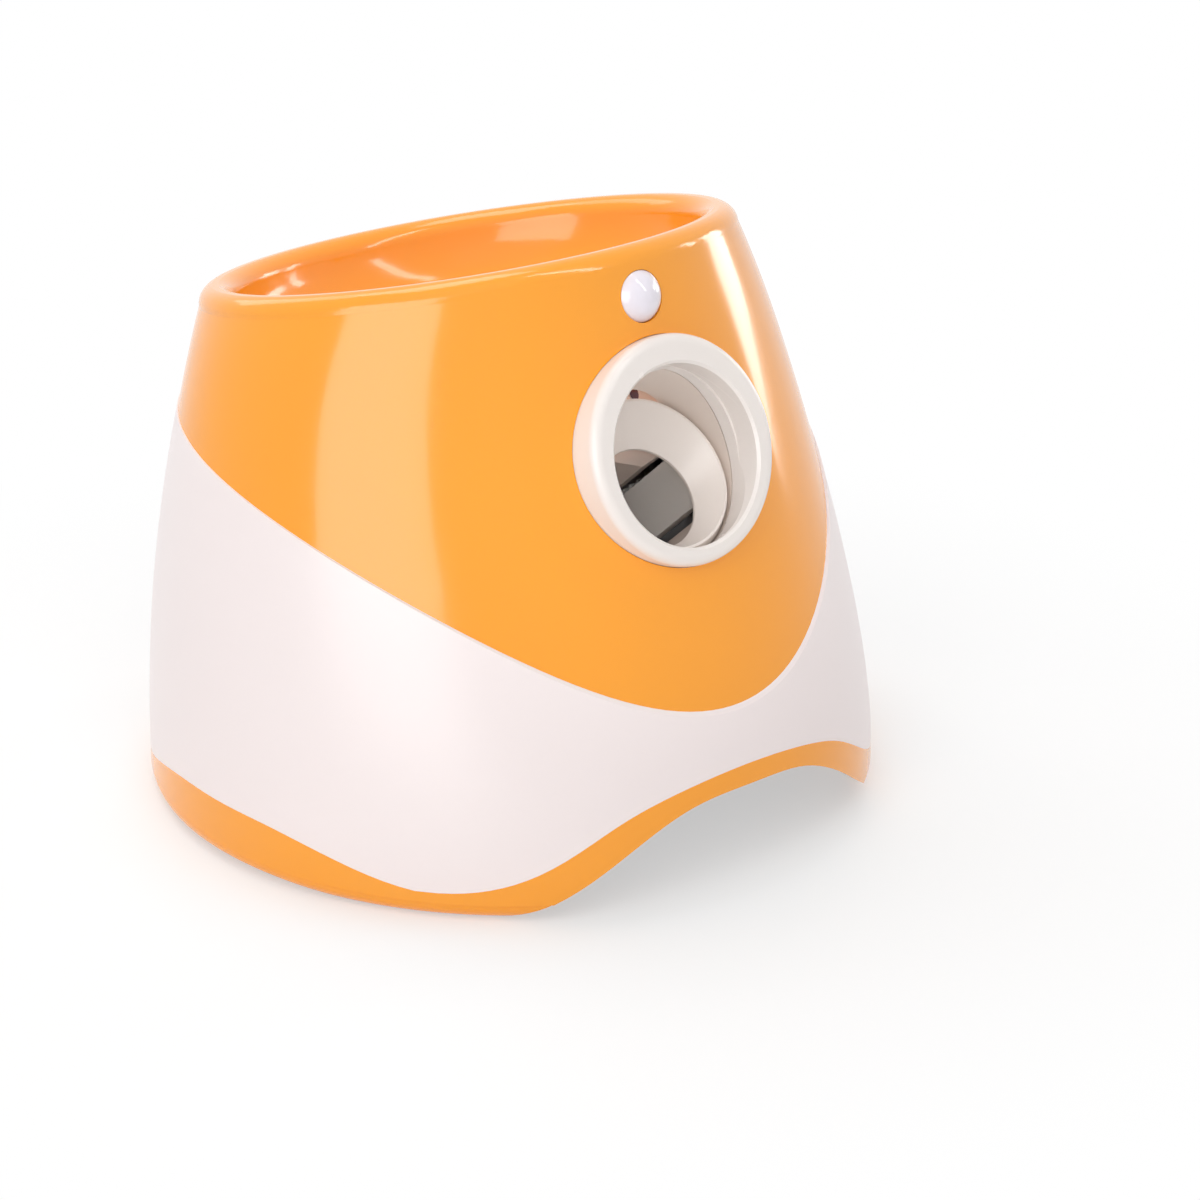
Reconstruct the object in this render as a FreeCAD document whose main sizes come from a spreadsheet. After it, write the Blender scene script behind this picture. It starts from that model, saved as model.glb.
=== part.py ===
"""Ball launcher for dogs: a hopper casing over a spring plunger that a half-toothed gear pulls back.

World frame: +Z up, -Y is the muzzle side, X = 0 is the middle plane, the origin is on the floor.
Barrel frame: local Y runs back along the barrel, local Z stands square to it, X stays as it is.
"""
import FreeCAD
import Part
import math
import os
import re

SIZES = {
    # Casing: each ring is an ellipse with its own centre, half sizes and tilt.
    "base_radius": 120.0, "base_y": -1.86,
    "belly_height": 50.0, "belly_y": 0.49, "belly_width": 118.9, "belly_depth": 114.05,
    "waist_height": 97.5, "waist_y": 6.89, "waist_width": 113.6, "waist_depth": 99.5, "waist_tilt": 4.3,
    "neck_height": 137.5, "neck_y": 12.44, "neck_width": 104.5, "neck_depth": 87.6, "neck_tilt": 8.2,
    "crest_height": 175.2, "crest_y": 19.54, "crest_width": 85.5, "crest_depth": 76.1, "rim_tilt": 12.74,
    "rim_radius": 6.0, "casing_wall": 3.0, "bib_step": 0.8, "lap_length": 5.0, "lap_wall": 2.0,
    # Seam between the shells, an arc in side view, and the waves of the base trim.
    "seam_front": 44.5, "seam_middle": 120.6, "seam_rear": 124.7,
    "trim_height": 9.4, "front_wave": 29.6, "side_wave": 11.4, "front_arch": 32.8, "side_arch": 3.0,
    "wave_half": 93.0, "floor_gap": 0.4, "toe_round": 5.5, "toe_flange": 1.0, "arch_sink": 2.0,
    # Hopper bowl below the rim.
    "bowl_mid_front": 7.2, "bowl_mid_drop": 22.2, "bowl_mid_width": 72.0, "bowl_mid_depth": 63.5,
    "bowl_mid_tilt": 13.6, "bowl_low_back": 21.06, "bowl_low_rise": 6.55, "bowl_low_width": 50.0,
    "bowl_low_depth": 46.2, "bowl_low_tilt": 21.3,
    # Barrel and throat.
    "barrel_setback": 13.65, "barrel_drop": 1.7, "barrel_tilt": 42.0, "bore_radius": 28.0,
    "barrel_wall": 3.0, "barrel_back": 84.0, "barrel_reach": 45.0, "barrel_inset": 3.4, "throat_radius": 27.0,
    "throat_place": 24.0,
    "throat_top": 42.0, "window_front": 4.8, "window_half": 12.5, "lug_slot_half": 6.0,
    "lug_slot_front": 5.8, "frame_thick": 3.0, "frame_hole": 22.0,
    # Muzzle ring.
    "muzzle_share": 0.605, "muzzle_sink": 0.4, "muzzle_tilt": 20.7, "muzzle_radius": 36.1,
    "muzzle_lip": 28.5, "muzzle_drop": 1.9, "muzzle_proud": 5.4, "muzzle_depth": 20.0, "muzzle_flange": 2.4,
    "muzzle_round": 3.0, "flange_gap": 0.1, "muzzle_seat": 3.0, "lip_soft": 0.9, "lip_depth": 4.0,
    "ring_path_reach": 19.0,
    # Plunger.
    "cup_front_radius": 26.0, "guide_gap": 0.3, "cup_edge": 0.8, "cup_length": 12.0, "dish_depth": 8.5,
    "dish_hole": 17.0, "dish_drop": 4.5, "dish_land": 1.0, "gate_length": 44.0, "gate_thick": 3.0, "gate_half": 15.0,
    "rod_place": 37.0, "rod_radius": 2.0, "rod_gap": 0.3, "lug_front": 6.5, "lug_half": 5.0,
    "coil_radius": 4.6, "coil_wire": 1.6, "coil_turns": 11.0,
    "strip_half": 9.0, "strip_inner": 24.0, "strip_outer": 28.0, "rack_half": 6.0, "rack_line": 34.0,
    "rack_front": 8.0, "bumper_thick": 2.8,
    # Gear train: modules, tooth counts, widths and centre places in the barrel frame.
    "sector_module": 1.5, "sector_teeth": 22.0, "sector_half": 5.0, "sector_place": 60.0,
    "final_module": 1.0, "final_teeth": 36.0, "final_width": 6.0, "second_pinion_teeth": 12.0,
    "second_module": 0.8, "second_teeth": 40.0, "second_width": 4.0, "first_pinion_teeth": 12.0,
    "first_module": 0.6, "first_teeth": 40.0, "first_width": 3.5, "motor_pinion_teeth": 12.0,
    "second_bearing": 20.0, "first_bearing": -35.0, "motor_bearing": -134.0, "backlash": 0.14,
    "gear_gap": 1.0, "shaft_radius": 3.0, "bush_radius": 5.0, "pin_radius": 2.0, "run_gap": 0.05,
    "plate_thick": 2.5, "plate_low": 10.0, "plate_high": 26.0, "plate_left": 34.0, "plate_right": 98.0,
    "plate_front": 34.0, "plate_back": 87.0, "post_radius": 3.5,
    "motor_radius": 12.0, "motor_length": 26.0, "motor_cap": 3.0, "motor_shaft_radius": 1.0,
    # Deck, battery bay and door.
    "deck_low": 35.0, "deck_thick": 3.0, "foot_inset": 16.0, "foot_angle": 50.0, "foot_post": 7.0,
    "web_thick": 3.0, "web_height": 8.0, "deck_gap": 0.3,
    "pad_radius": 5.5, "pad_height": 3.0, "bay_half": 55.0, "bay_front": 8.14, "bay_back": 90.14,
    "bay_wall": 3.0, "lead_way": 4.0, "bay_bottom": 4.5, "door_low": 6.4, "door_thick": 2.2, "door_gap": 0.2,
    "groove_depth": 2.0,
    # Rear panel.
    "panel_share": 0.75, "panel_sink": -0.1, "panel_tilt": 12.8, "panel_half_wide": 28.0,
    "panel_half_tall": 20.0, "panel_edge": 4.0, "panel_seat": 8.5, "panel_face": 4.5,
    "panel_thick": 2.5, "button_radius": 7.0, "button_rise": 8.0, "button_proud": 2.2,
    "button_travel": 1.2, "jack_radius": 5.5, "jack_hole": 2.9, "jack_pin": 1.0, "jack_x": 16.0,
    "jack_drop": 10.0,
    # Motion sensor above the muzzle.
    "lens_share": 0.745, "lens_sink": 0.8, "lens_tilt": 13.5, "lens_radius": 8.0, "lens_rise": 4.4,
    "lens_flange": 9.2, "lens_seat": 10.6, "lamp_radius": 2.5, "lamp_length": 7.0, "lamp_drop": 8.0,
    "seat_deep": 7.0, "lens_shelf": 1.8, "lens_stem": 3.0, "lens_skin": 1.6, "sensor_flat": 3.0, "lamp_step": 0.5, "collar_thick": 1.2,
    "collar_step": 0.7, "shell_gap": 0.2, "bay_gap": 0.3,
    # Control board.
    "board_x": -76.0, "board_y": 3.14, "board_wide": 46.0, "board_long": 60.0, "board_thick": 1.6,
    "standoff": 6.0,
    # Fasteners.
    "screw_radius": 1.5, "screw_head": 2.75, "screw_head_height": 1.8, "post_size": 4.5,
    "front_post_angle": 35.5, "rear_post_angle": 46.5, "front_boss_angle": 24.1, "rear_boss_angle": 56.7,
    "boss_inset": 8.8, "boss_height": 14.0, "screw_bite": 8.0, "pass_gap": 0.1, "screw_gap": 0.05, "pad_bite": 5.0,
    "small_screw": 1.0,
    "small_head": 1.9, "small_head_height": 1.4, "small_gap": 0.05, "press_gap": 0.02,
    "ear_x": 50.0, "ear_front": 20.0, "ear_back": 19.0, "ear_half": 4.0, "ear_thick": 3.0,
    "leg_half": 13.0, "leg_front": -61.86, "leg_rear": -41.86, "leg_thick": 4.0, "leg_pad": 22.0,
    "leg_screw": 18.5, "pad_thick": 3.0, "pad_half": 6.0,
}



def profile_point(low, high, share, way, sink):
    """Y and Z of a point between two casing rings' (y, z, depth, tilt) at the front (-1) or rear (1)."""
    ends = []
    for y, z, depth, turn in (low, high):
        ends.append(("(%s + %d * (%s) * cos(%s * 1deg))" % (y, way, depth, turn),
                     "(%s - %d * (%s) * sin(%s * 1deg))" % (z, way, depth, turn)))
    line = "%s * (1 - {0}) + %s * {0}".format(share)
    return line % (ends[0][0], ends[1][0]) + " - %d * %s" % (way, sink), line % (ends[0][1], ends[1][1])


BELLY = ("belly_y", "belly_height", "belly_depth", "0")
WAIST = ("waist_y", "waist_height", "waist_depth", "waist_tilt")
NECK = ("neck_y", "neck_height", "neck_depth", "neck_tilt")
RIM = ("(crest_y - rim_radius * sin(rim_tilt * 1deg))", "(crest_height - rim_radius * cos(rim_tilt * 1deg))",
       "crest_depth + rim_radius", "rim_tilt")
PLACES = {}
PLACES["muzzle_y"], PLACES["muzzle_height"] = profile_point(WAIST, NECK, "muzzle_share", -1, "muzzle_sink")
PLACES["lens_y"], PLACES["lens_height"] = profile_point(NECK, RIM, "lens_share", -1, "lens_sink")
PLACES["panel_y"], PLACES["panel_height"] = profile_point(BELLY, WAIST, "panel_share", 1, "panel_sink")
PLACES["barrel_y"] = "muzzle_y + barrel_setback * cos(barrel_tilt * 1deg) - barrel_drop * sin(barrel_tilt * 1deg)"
PLACES["barrel_height"] = ("muzzle_height - barrel_setback * sin(barrel_tilt * 1deg)"
                           " - barrel_drop * cos(barrel_tilt * 1deg)")
PLACES["throat_y"] = "barrel_y + throat_place * cos(barrel_tilt * 1deg) + throat_top * sin(barrel_tilt * 1deg)"
PLACES["throat_height"] = ("barrel_height - throat_place * sin(barrel_tilt * 1deg)"
                           " + throat_top * cos(barrel_tilt * 1deg)")
PLACES["bowl_low_y"], PLACES["bowl_low_height"] = "throat_y + bowl_low_back", "throat_height + bowl_low_rise"
PLACES["bowl_mid_y"], PLACES["bowl_mid_height"] = "crest_y - bowl_mid_front", "crest_height - bowl_mid_drop"
PLACES["foot_x"] = "(base_radius - foot_inset) * sin(foot_angle * 1deg)"
PLACES["foot_out"] = "(base_radius - foot_inset) * cos(foot_angle * 1deg)"
PLACES["deck_top"] = "deck_low + deck_thick"
PLACES["bore_out"] = "bore_radius + barrel_wall"

doc = FreeCAD.newDocument("ball_launcher")
sheet = doc.addObject("Spreadsheet::Sheet", "dims")
cells = list(SIZES.items()) + [(word, "=" + text) for word, text in PLACES.items()]
for row, (word, value) in enumerate(cells, start=1):
    sheet.set("A%d" % row, word)
    sheet.set("B%d" % row, str(value))
    sheet.setAlias("B%d" % row, word)
doc.recompute()

V = FreeCAD.Vector
FAR = 400.0
AXES = {"x": FreeCAD.Rotation(V(0, 1, 0), 90), "y": FreeCAD.Rotation(V(1, 0, 0), -90),
        "z": FreeCAD.Rotation()}


def size(word):
    return float(getattr(sheet, word))


def formula(text):
    """Write each size's word in an expression as a reference to its cell."""
    return re.sub(r"[a-z][a-z_]+", lambda m: "dims." + m.group() if m.group() in SIZES or m.group() in PLACES
                  else m.group(), str(text))


def bind(obj, **places):
    for prop, text in places.items():
        obj.setExpression(prop.replace("__", "."), formula(text))
    return obj


def put(obj, x, y, z):
    return bind(obj, Placement__Base__x=x, Placement__Base__y=y, Placement__Base__z=z)


def rod(name, radius, length, x=0, y=0, z=0, along="z"):
    obj = doc.addObject("Part::Cylinder", name)
    obj.Placement.Rotation = AXES[along]
    bind(obj, Radius=radius, Height=length)
    return put(obj, x, y, z)


def taper(name, low, high, length, x=0, y=0, z=0, along="z"):
    obj = doc.addObject("Part::Cone", name)
    obj.Placement.Rotation = AXES[along]
    bind(obj, Radius1=low, Radius2=high, Height=length)
    return put(obj, x, y, z)


def block(name, x_low, x_high, y_low, y_high, z_low, z_high):
    obj = doc.addObject("Part::Box", name)
    bind(obj, Length="(%s) - (%s)" % (x_high, x_low), Width="(%s) - (%s)" % (y_high, y_low),
         Height="(%s) - (%s)" % (z_high, z_low))
    return put(obj, x_low, y_low, z_low)


def join(name, *parts):
    obj = doc.addObject("Part::MultiFuse", name)
    obj.Shapes = list(parts)
    obj.Refine = True
    return obj


def cut(name, base, *tools):
    obj = doc.addObject("Part::Cut", name)
    obj.Base = base
    obj.Tool = tools[0] if len(tools) == 1 else join(name + "_tools", *tools)
    obj.Refine = True
    return obj


def common(name, *parts):
    obj = doc.addObject("Part::MultiCommon", name)
    obj.Shapes = list(parts)
    obj.Refine = True
    return obj


def group(name, *parts):
    obj = doc.addObject("Part::Compound", name)
    obj.Links = list(parts)
    return obj


def tilt(obj, angle, y, z, x="0"):
    """Place an object in a frame that is turned about X and moved in the middle plane."""
    if obj.isDerivedFrom("Part::Primitive"):
        obj = group(obj.Name + "_placed", obj)
    obj.Placement.Rotation = FreeCAD.Rotation(V(1, 0, 0), 1)
    bind(obj, Placement__Rotation__Angle="(%s) * 1deg" % angle)
    return put(obj, x, y, z)


def in_barrel(obj):
    return tilt(obj, "-barrel_tilt", "barrel_y", "barrel_height")


def in_muzzle(obj):
    """Local Z points out of the muzzle ring, local Y up its face."""
    return tilt(obj, "90 - muzzle_tilt", "muzzle_y", "muzzle_height")


def in_panel(obj):
    """Local Y points out of the rear panel, local Z up its face."""
    return tilt(obj, "panel_tilt", "panel_y", "panel_height")


def in_lens(obj):
    return tilt(obj, "90 - lens_tilt", "lens_y", "lens_height")


def feature(name, shape, placement=None):
    obj = doc.addObject("Part::Feature", name)
    obj.Shape = shape
    if placement:
        obj.Placement = placement
    return obj


def barrel_frame():
    return FreeCAD.Placement(V(0, size("barrel_y"), size("barrel_height")),
                             FreeCAD.Rotation(V(1, 0, 0), -size("barrel_tilt")))


nodes = {}


def node(name, obj):
    obj.Label = name
    nodes[name] = obj
    return obj


def ring(name, width, depth, y, z, angle):
    obj = doc.addObject("Part::Ellipse", name)
    obj.Placement.Rotation = FreeCAD.Rotation(V(1, 0, 0), 1)
    bind(obj, MajorRadius=width, MinorRadius=depth,
         Placement__Rotation__Angle="-(%s) * 1deg" % angle)
    return put(obj, "0", y, z)


def loft(name, rings):
    obj = doc.addObject("Part::Loft", name)
    obj.Sections = rings
    obj.Solid = True
    return obj


def rim_ring(name, turn, side):
    """One ring of the rolled rim: turn 0 is where it leaves the wall, 90 its crest."""
    across = "%d * rim_radius * cos(%s deg)" % (side, turn)
    drop = "rim_radius * (1 - sin(%s deg))" % turn
    return ring(name, "crest_width + " + across, "crest_depth + " + across,
                "crest_y - (%s) * sin(rim_tilt * 1deg)" % drop,
                "crest_height - (%s) * cos(rim_tilt * 1deg)" % drop, "rim_tilt")


def casing_solid(name, inset, neck_inset=None, rim_inset=None):
    """The casing's outer form, taken in by an inset, up to where the rim starts to roll."""
    neck = inset if neck_inset is None else neck_inset
    top = inset if rim_inset is None else rim_inset
    start = "crest_%s + rim_radius - (" + top + ")"
    return loft(name, [
        ring(name + "_base", "base_radius - (%s)" % inset, "base_radius - (%s)" % inset,
             "base_y", "0", "0"),
        ring(name + "_belly", "belly_width - (%s)" % inset, "belly_depth - (%s)" % inset,
             "belly_y", "belly_height", "0"),
        ring(name + "_waist", "waist_width - (%s)" % inset, "waist_depth - (%s)" % inset,
             "waist_y", "waist_height", "waist_tilt"),
        ring(name + "_neck", "neck_width - (%s)" % neck, "neck_depth - (%s)" % neck,
             "neck_y", "neck_height", "neck_tilt"),
        ring(name + "_rim", start % "width", start % "depth",
             "crest_y - rim_radius * sin(rim_tilt * 1deg)",
             "crest_height - rim_radius * cos(rim_tilt * 1deg)", "rim_tilt")])


def bowl_solid(name, grow):
    """The hopper bowl's form, grown by a wall, from the rim down to the throat."""
    start = "crest_%s - rim_radius + " + grow
    return loft(name, [
        ring(name + "_rim", start % "width", start % "depth",
             "crest_y - rim_radius * sin(rim_tilt * 1deg)",
             "crest_height - rim_radius * cos(rim_tilt * 1deg)", "rim_tilt"),
        ring(name + "_mid", "bowl_mid_width + " + grow, "bowl_mid_depth + " + grow,
             "bowl_mid_y", "bowl_mid_height", "bowl_mid_tilt"),
        ring(name + "_low", "bowl_low_width + " + grow, "bowl_low_depth + " + grow,
             "bowl_low_y", "bowl_low_height", "bowl_low_tilt"),
        ring(name + "_out", "throat_radius + " + grow, "throat_radius + " + grow,
             "throat_y", "throat_height", "barrel_tilt")])


def below_seam(name, drop):
    """Everything below the seam's arc, lowered by a drop."""
    radius = size("base_radius")
    reach = radius + 15
    front, rear = V(0, -radius, size("seam_front") - drop), V(0, radius, size("seam_rear") - drop)
    arc = Part.Arc(front, V(0, 0, size("seam_middle") - drop), rear).toShape()
    corners = [front, V(0, -reach, front.z), V(0, -reach, -reach), V(0, reach, -reach), V(0, reach, rear.z), rear]
    face = Part.Face(Part.Wire([arc] + Part.makePolygon(corners).Edges))
    face.translate(V(-reach, size("base_y"), 0))
    return feature(name, face.extrude(V(2 * reach, 0, 0)))


# How high a wave stands at three quarters, half and one quarter of its half width.
FRONT_WAVE, FRONT_ARCH = (0.236, 0.696, 0.932), (0.18, 0.62, 0.94)
SIDE_WAVE, SIDE_ARCH = (0.01, 0.53, 0.93), (0.25, 0.66, 0.93)


def wave(height, base, rises, along, reach_low, reach_high):
    """A bell-shaped bar: its section is a raised wave over a base line, along X or Y."""
    half = size("wave_half")
    points = [(-half, base)]
    points += [(-half * share, base + height * rise) for share, rise in zip((0.75, 0.5, 0.25), rises)]
    points += [(0, base + height)] + [(-across, up) for across, up in points[::-1]]
    turn = (lambda a, u: V(a, reach_low, u)) if along == "y" else (lambda a, u: V(reach_low, a, u))
    top = Part.BSplineCurve()
    top.interpolate([turn(*p) for p in points])
    corners = [turn(half, base), turn(half, -10), turn(-half, -10), turn(-half, base)]
    face = Part.Face(Part.Wire([top.toShape()] + Part.makePolygon(corners).Edges))
    way = V(0, reach_high - reach_low, 0) if along == "y" else V(reach_high - reach_low, 0, 0)
    return face.extrude(way)


def waves(name, base, front, side, front_rises, side_rises):
    """The region below a wavy line round the casing: a slab and three bell-shaped bars."""
    reach = size("base_radius") + 15
    bars = [wave(front, base, front_rises, "y", -reach, -size("base_radius") / 2),
            wave(side, base, side_rises, "y", size("base_radius") / 2, reach),
            wave(side, base, side_rises, "x", -reach, reach)]
    slab = Part.makeBox(2 * reach, 2 * reach, base + 10, V(-reach, -reach, -10))
    below = slab.multiFuse(bars).removeSplitter()
    below.translate(V(0, size("base_y"), 0))
    return feature(name, below)


def toe_tool(name, wide, low, radius):
    """All that lies below a casing form with a rounded lower edge, as one turned solid."""
    reach, centre, sag = size("base_radius") + 15, size("base_y"), radius * (1 - math.sqrt(0.5))
    at = lambda out, up: V(out, centre, up)
    bend = Part.Arc(at(wide, low + radius), at(wide - sag, low + sag), at(wide - radius, low)).toShape()
    corners = [at(wide - radius, low), at(0, low), at(0, low - 10), at(reach, low - 10),
               at(reach, low + radius), at(wide, low + radius)]
    face = Part.Face(Part.Wire([bend] + Part.makePolygon(corners).Edges))
    return feature(name, face.revolve(at(0, 0), V(0, 0, 1), 360))


SIDES = ((1, -1), (-1, -1), (1, 1), (-1, 1))


def signed(sign, text):
    return "%d * (%s)" % (sign, text)


def foot_centre(sx, sy):
    return signed(sx, "foot_x"), "base_y + " + signed(sy, "foot_out")


def post_centre(sx, sy):
    """A post of the top shell: the front pair meets the neck ring, the rear pair the rim's crest."""
    ring_word, tilted, turn = ("neck", "neck_tilt", "front_post_angle") if sy < 0 else (
        "crest", "rim_tilt", "rear_post_angle")
    return (signed(sx, "%s_width * sin(%s * 1deg)" % (ring_word, turn)),
            "%s_y + %s * cos(%s * 1deg) * cos(%s * 1deg)" % (
                ring_word, signed(sy, ring_word + "_depth"), tilted, turn))


def boss_centre(sx, sy):
    """A boss of the body shell, close inside the belly ring."""
    turn = "front_boss_angle" if sy < 0 else "rear_boss_angle"
    return (signed(sx, "(belly_width - boss_inset) * sin(%s * 1deg)" % turn),
            "belly_y + " + signed(sy, "(belly_depth - boss_inset) * cos(%s * 1deg)" % turn))


def web_at(web, x, y, z):
    """Put a web at a post and turn it outwards: its inner edge lies on the post's axis."""
    holder = group(web.Name + "_turned", web)
    holder.Placement.Rotation = FreeCAD.Rotation(V(0, 0, 1), 1)
    bind(holder, Placement__Rotation__Angle="atan2(%s; %s)" % (y, x))
    return put(holder, x, y, z)


def make_top_shell(inner):
    """Orange shell: the upper wall, the rolled rim and the hopper bowl in one moulding."""
    outer = casing_solid("top_outer", "bib_step", "bib_step / 2", "0")
    seam = below_seam("seam_tool", 0)
    wall = cut("top_wall", outer, inner, seam)
    rim = loft("rim_roll", [rim_ring("rim_out_%d" % turn, turn, 1) for turn in (0, 27, 54, 80)])
    bowl = bowl_solid("bowl_outer", "casing_wall")
    tongue_inner = casing_solid("tongue_inner", "casing_wall + lap_wall")
    tongue = cut("tongue", cut("tongue_band", inner, tongue_inner, below_seam("tongue_low", size("lap_length"))),
                 feature("tongue_high", Part.makeBox(FAR, FAR, FAR, V(-FAR / 2, -FAR / 2, 0)).cut(
                     below_seam("tongue_limit", -size("lap_length")).Shape)))
    posts = [rod("shell_post_%d" % i, "post_size", "crest_height - deck_top", *post_centre(sx, sy),
                 z="deck_top") for i, (sx, sy) in enumerate(SIDES)]
    posts = common("shell_posts", join("post_group", *posts), casing_solid("post_limit", "casing_wall / 2"))
    seat = in_lens(rod("lens_seat_boss", "lens_seat", "seat_deep", z="-seat_deep - 1"))
    seat = cut("lens_seat_trim", common("lens_seat_in", seat, casing_solid("seat_limit", "casing_wall / 2")),
               in_muzzle(rod("flange_way", "muzzle_radius + muzzle_flange + bay_gap", "2 * muzzle_depth",
                             z="-1.5 * muzzle_depth")))
    body = join("top_body", wall, rim, bowl, tongue, posts, seat)
    bowl_hollow = bowl_solid("bowl_hollow", "0")
    rim_hollow = loft("rim_hollow", [rim_ring("rim_in_%d" % turn, turn, -1) for turn in (0, 27, 54, 80)])
    holes = [bowl_hollow, rim_hollow,
             in_muzzle(rod("muzzle_hole", "muzzle_radius + shell_gap", "2 * muzzle_depth", z="-1.5 * muzzle_depth")),
             in_lens(rod("lens_hole", "lens_radius + shell_gap", "3 * seat_deep", z="-1.5 * seat_deep")),
             in_lens(rod("lens_bay", "lens_flange + bay_gap", "seat_deep - lens_shelf",
                         z="-seat_deep - lens_stem + lens_shelf"))]
    holes += [rod("shell_pilot_%d" % i, "screw_radius", "screw_bite + 2", *post_centre(sx, sy), z="deck_top")
              for i, (sx, sy) in enumerate(SIDES)]
    return node("top_shell", cut("top_shell_cut", body, *holes))


def make_body_shell(inner, outer):
    """White shell between the seam and the trim, with the rear window's frame."""
    wall = common("body_band", cut("body_wall", outer, inner), below_seam("body_seam", 0))
    frame = in_panel(block("panel_frame", "-panel_half_wide - panel_edge", "panel_half_wide + panel_edge",
                           "-panel_seat", "0", "-panel_half_tall - panel_edge",
                           "panel_half_tall + panel_edge"))
    frame = common("panel_frame_in", frame, casing_solid("panel_limit", "casing_wall / 2"))
    bosses, ribs, pilots = [], [], []
    for i, (sx, sy) in enumerate(SIDES):
        x, y = boss_centre(sx, sy)
        bosses.append(rod("body_boss_%d" % i, "post_size", "boss_height", x, y, "deck_top"))
        rib = block("boss_rib_%d" % i, "0", "2 * boss_inset", "-web_thick / 2", "web_thick / 2", "0", "boss_height")
        ribs.append(web_at(rib, x, y, "deck_top"))
        pilots.append(rod("body_pilot_%d" % i, "screw_radius", "screw_bite + 2", x, y, "deck_top"))
    holders = common("boss_limit", join("boss_group", *(bosses + ribs)),
                     casing_solid("boss_outer", "casing_wall / 2"))
    window = in_panel(block("panel_window", "-panel_half_wide", "panel_half_wide", "-30", "20",
                            "-panel_half_tall", "panel_half_tall"))
    panel_pilots = [in_panel(p) for p in panel_screw_rods("panel_pilot", "screw_radius", "-panel_seat", "4")]
    low = waves("trim_line_body", size("trim_height"), size("front_wave"), size("side_wave"),
                FRONT_WAVE, SIDE_WAVE)
    body = cut("body_trimmed", join("body_all", cut("body_low_cut", wall, low), frame, holders),
               window, *(pilots + panel_pilots))
    return node("body_shell", body)


def panel_screw_rods(name, radius, start, length):
    rods = []
    for i, (sx, sz) in enumerate(SIDES):
        pin = rod("%s_%d" % (name, i), radius, length, along="y")
        rods.append(pin)
        put(pin, signed(sx, "panel_half_wide + panel_edge / 2"), start, signed(sz, "panel_half_tall - 4"))
    return rods


def make_base_trim(inner, outer):
    """Orange skirt with arches between its feet, and a post above each foot."""
    gap, wall, toe = size("floor_gap"), size("casing_wall"), size("toe_round")
    wide = size("base_radius")
    high = waves("trim_line", size("trim_height"), size("front_wave"), size("side_wave"), FRONT_WAVE, SIDE_WAVE)
    arches = waves("arch_line", -size("arch_sink"), size("front_arch") + size("arch_sink"),
                   size("side_arch") + size("arch_sink"), FRONT_ARCH, SIDE_ARCH)
    hollow = cut("skirt_hollow", common("skirt_inner", inner, high),
                 toe_tool("toe_inner", wide - wall, gap + wall, toe - wall))
    core = rod("toe_core", "base_radius - toe_round - toe_flange", "2 * casing_wall", "0", "base_y")
    skirt = cut("skirt", common("skirt_band", outer, high), hollow, core,
                toe_tool("toe_outer", wide, gap, toe), arches)
    posts, webs, holes = [], [], []
    for i, (sx, sy) in enumerate(SIDES):
        x, y = foot_centre(sx, sy)
        posts.append(rod("foot_post_%d" % i, "foot_post", "deck_low - floor_gap", x, y, "floor_gap"))
        web = block("foot_web_%d" % i, "0", "2 * foot_inset", "-web_thick / 2", "web_thick / 2", "0", "web_height")
        webs.append(web_at(web, x, y, "floor_gap + casing_wall / 2"))
        holes.append(rod("foot_pilot_%d" % i, "screw_radius", "screw_bite + 1", x, y, "deck_low - screw_bite - 1"))
        holes.append(rod("pad_hole_%d" % i, "pad_radius + 0.1", "pad_height - floor_gap", x, y, "floor_gap"))
    limit = casing_solid("web_outer", "casing_wall / 2")
    webs = cut("foot_webs", common("webs_inside", join("web_group", *webs), limit),
               toe_tool("web_low", wide - wall / 2, gap + wall / 2, toe - wall / 2))
    return node("base_trim", cut("base_trim_cut", join("base_trim_all", skirt, webs, *posts), *holes))


def make_feet():
    pads = [rod("foot_pad_%d" % i, "pad_radius", "pad_height", *foot_centre(sx, sy))
            for i, (sx, sy) in enumerate(SIDES)]
    return node("rubber_feet", group("rubber_feet_set", *pads))


PAD_SCREWS = [(side + "leg_screw", place) for place in ("leg_front", "leg_rear") for side in ("", "-")]


def board_corner(sx, sy):
    return ("board_x + %d * (board_wide / 2 - 4)" % sx, "board_y + %d * (board_long / 2 - 4)" % sy)


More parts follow.
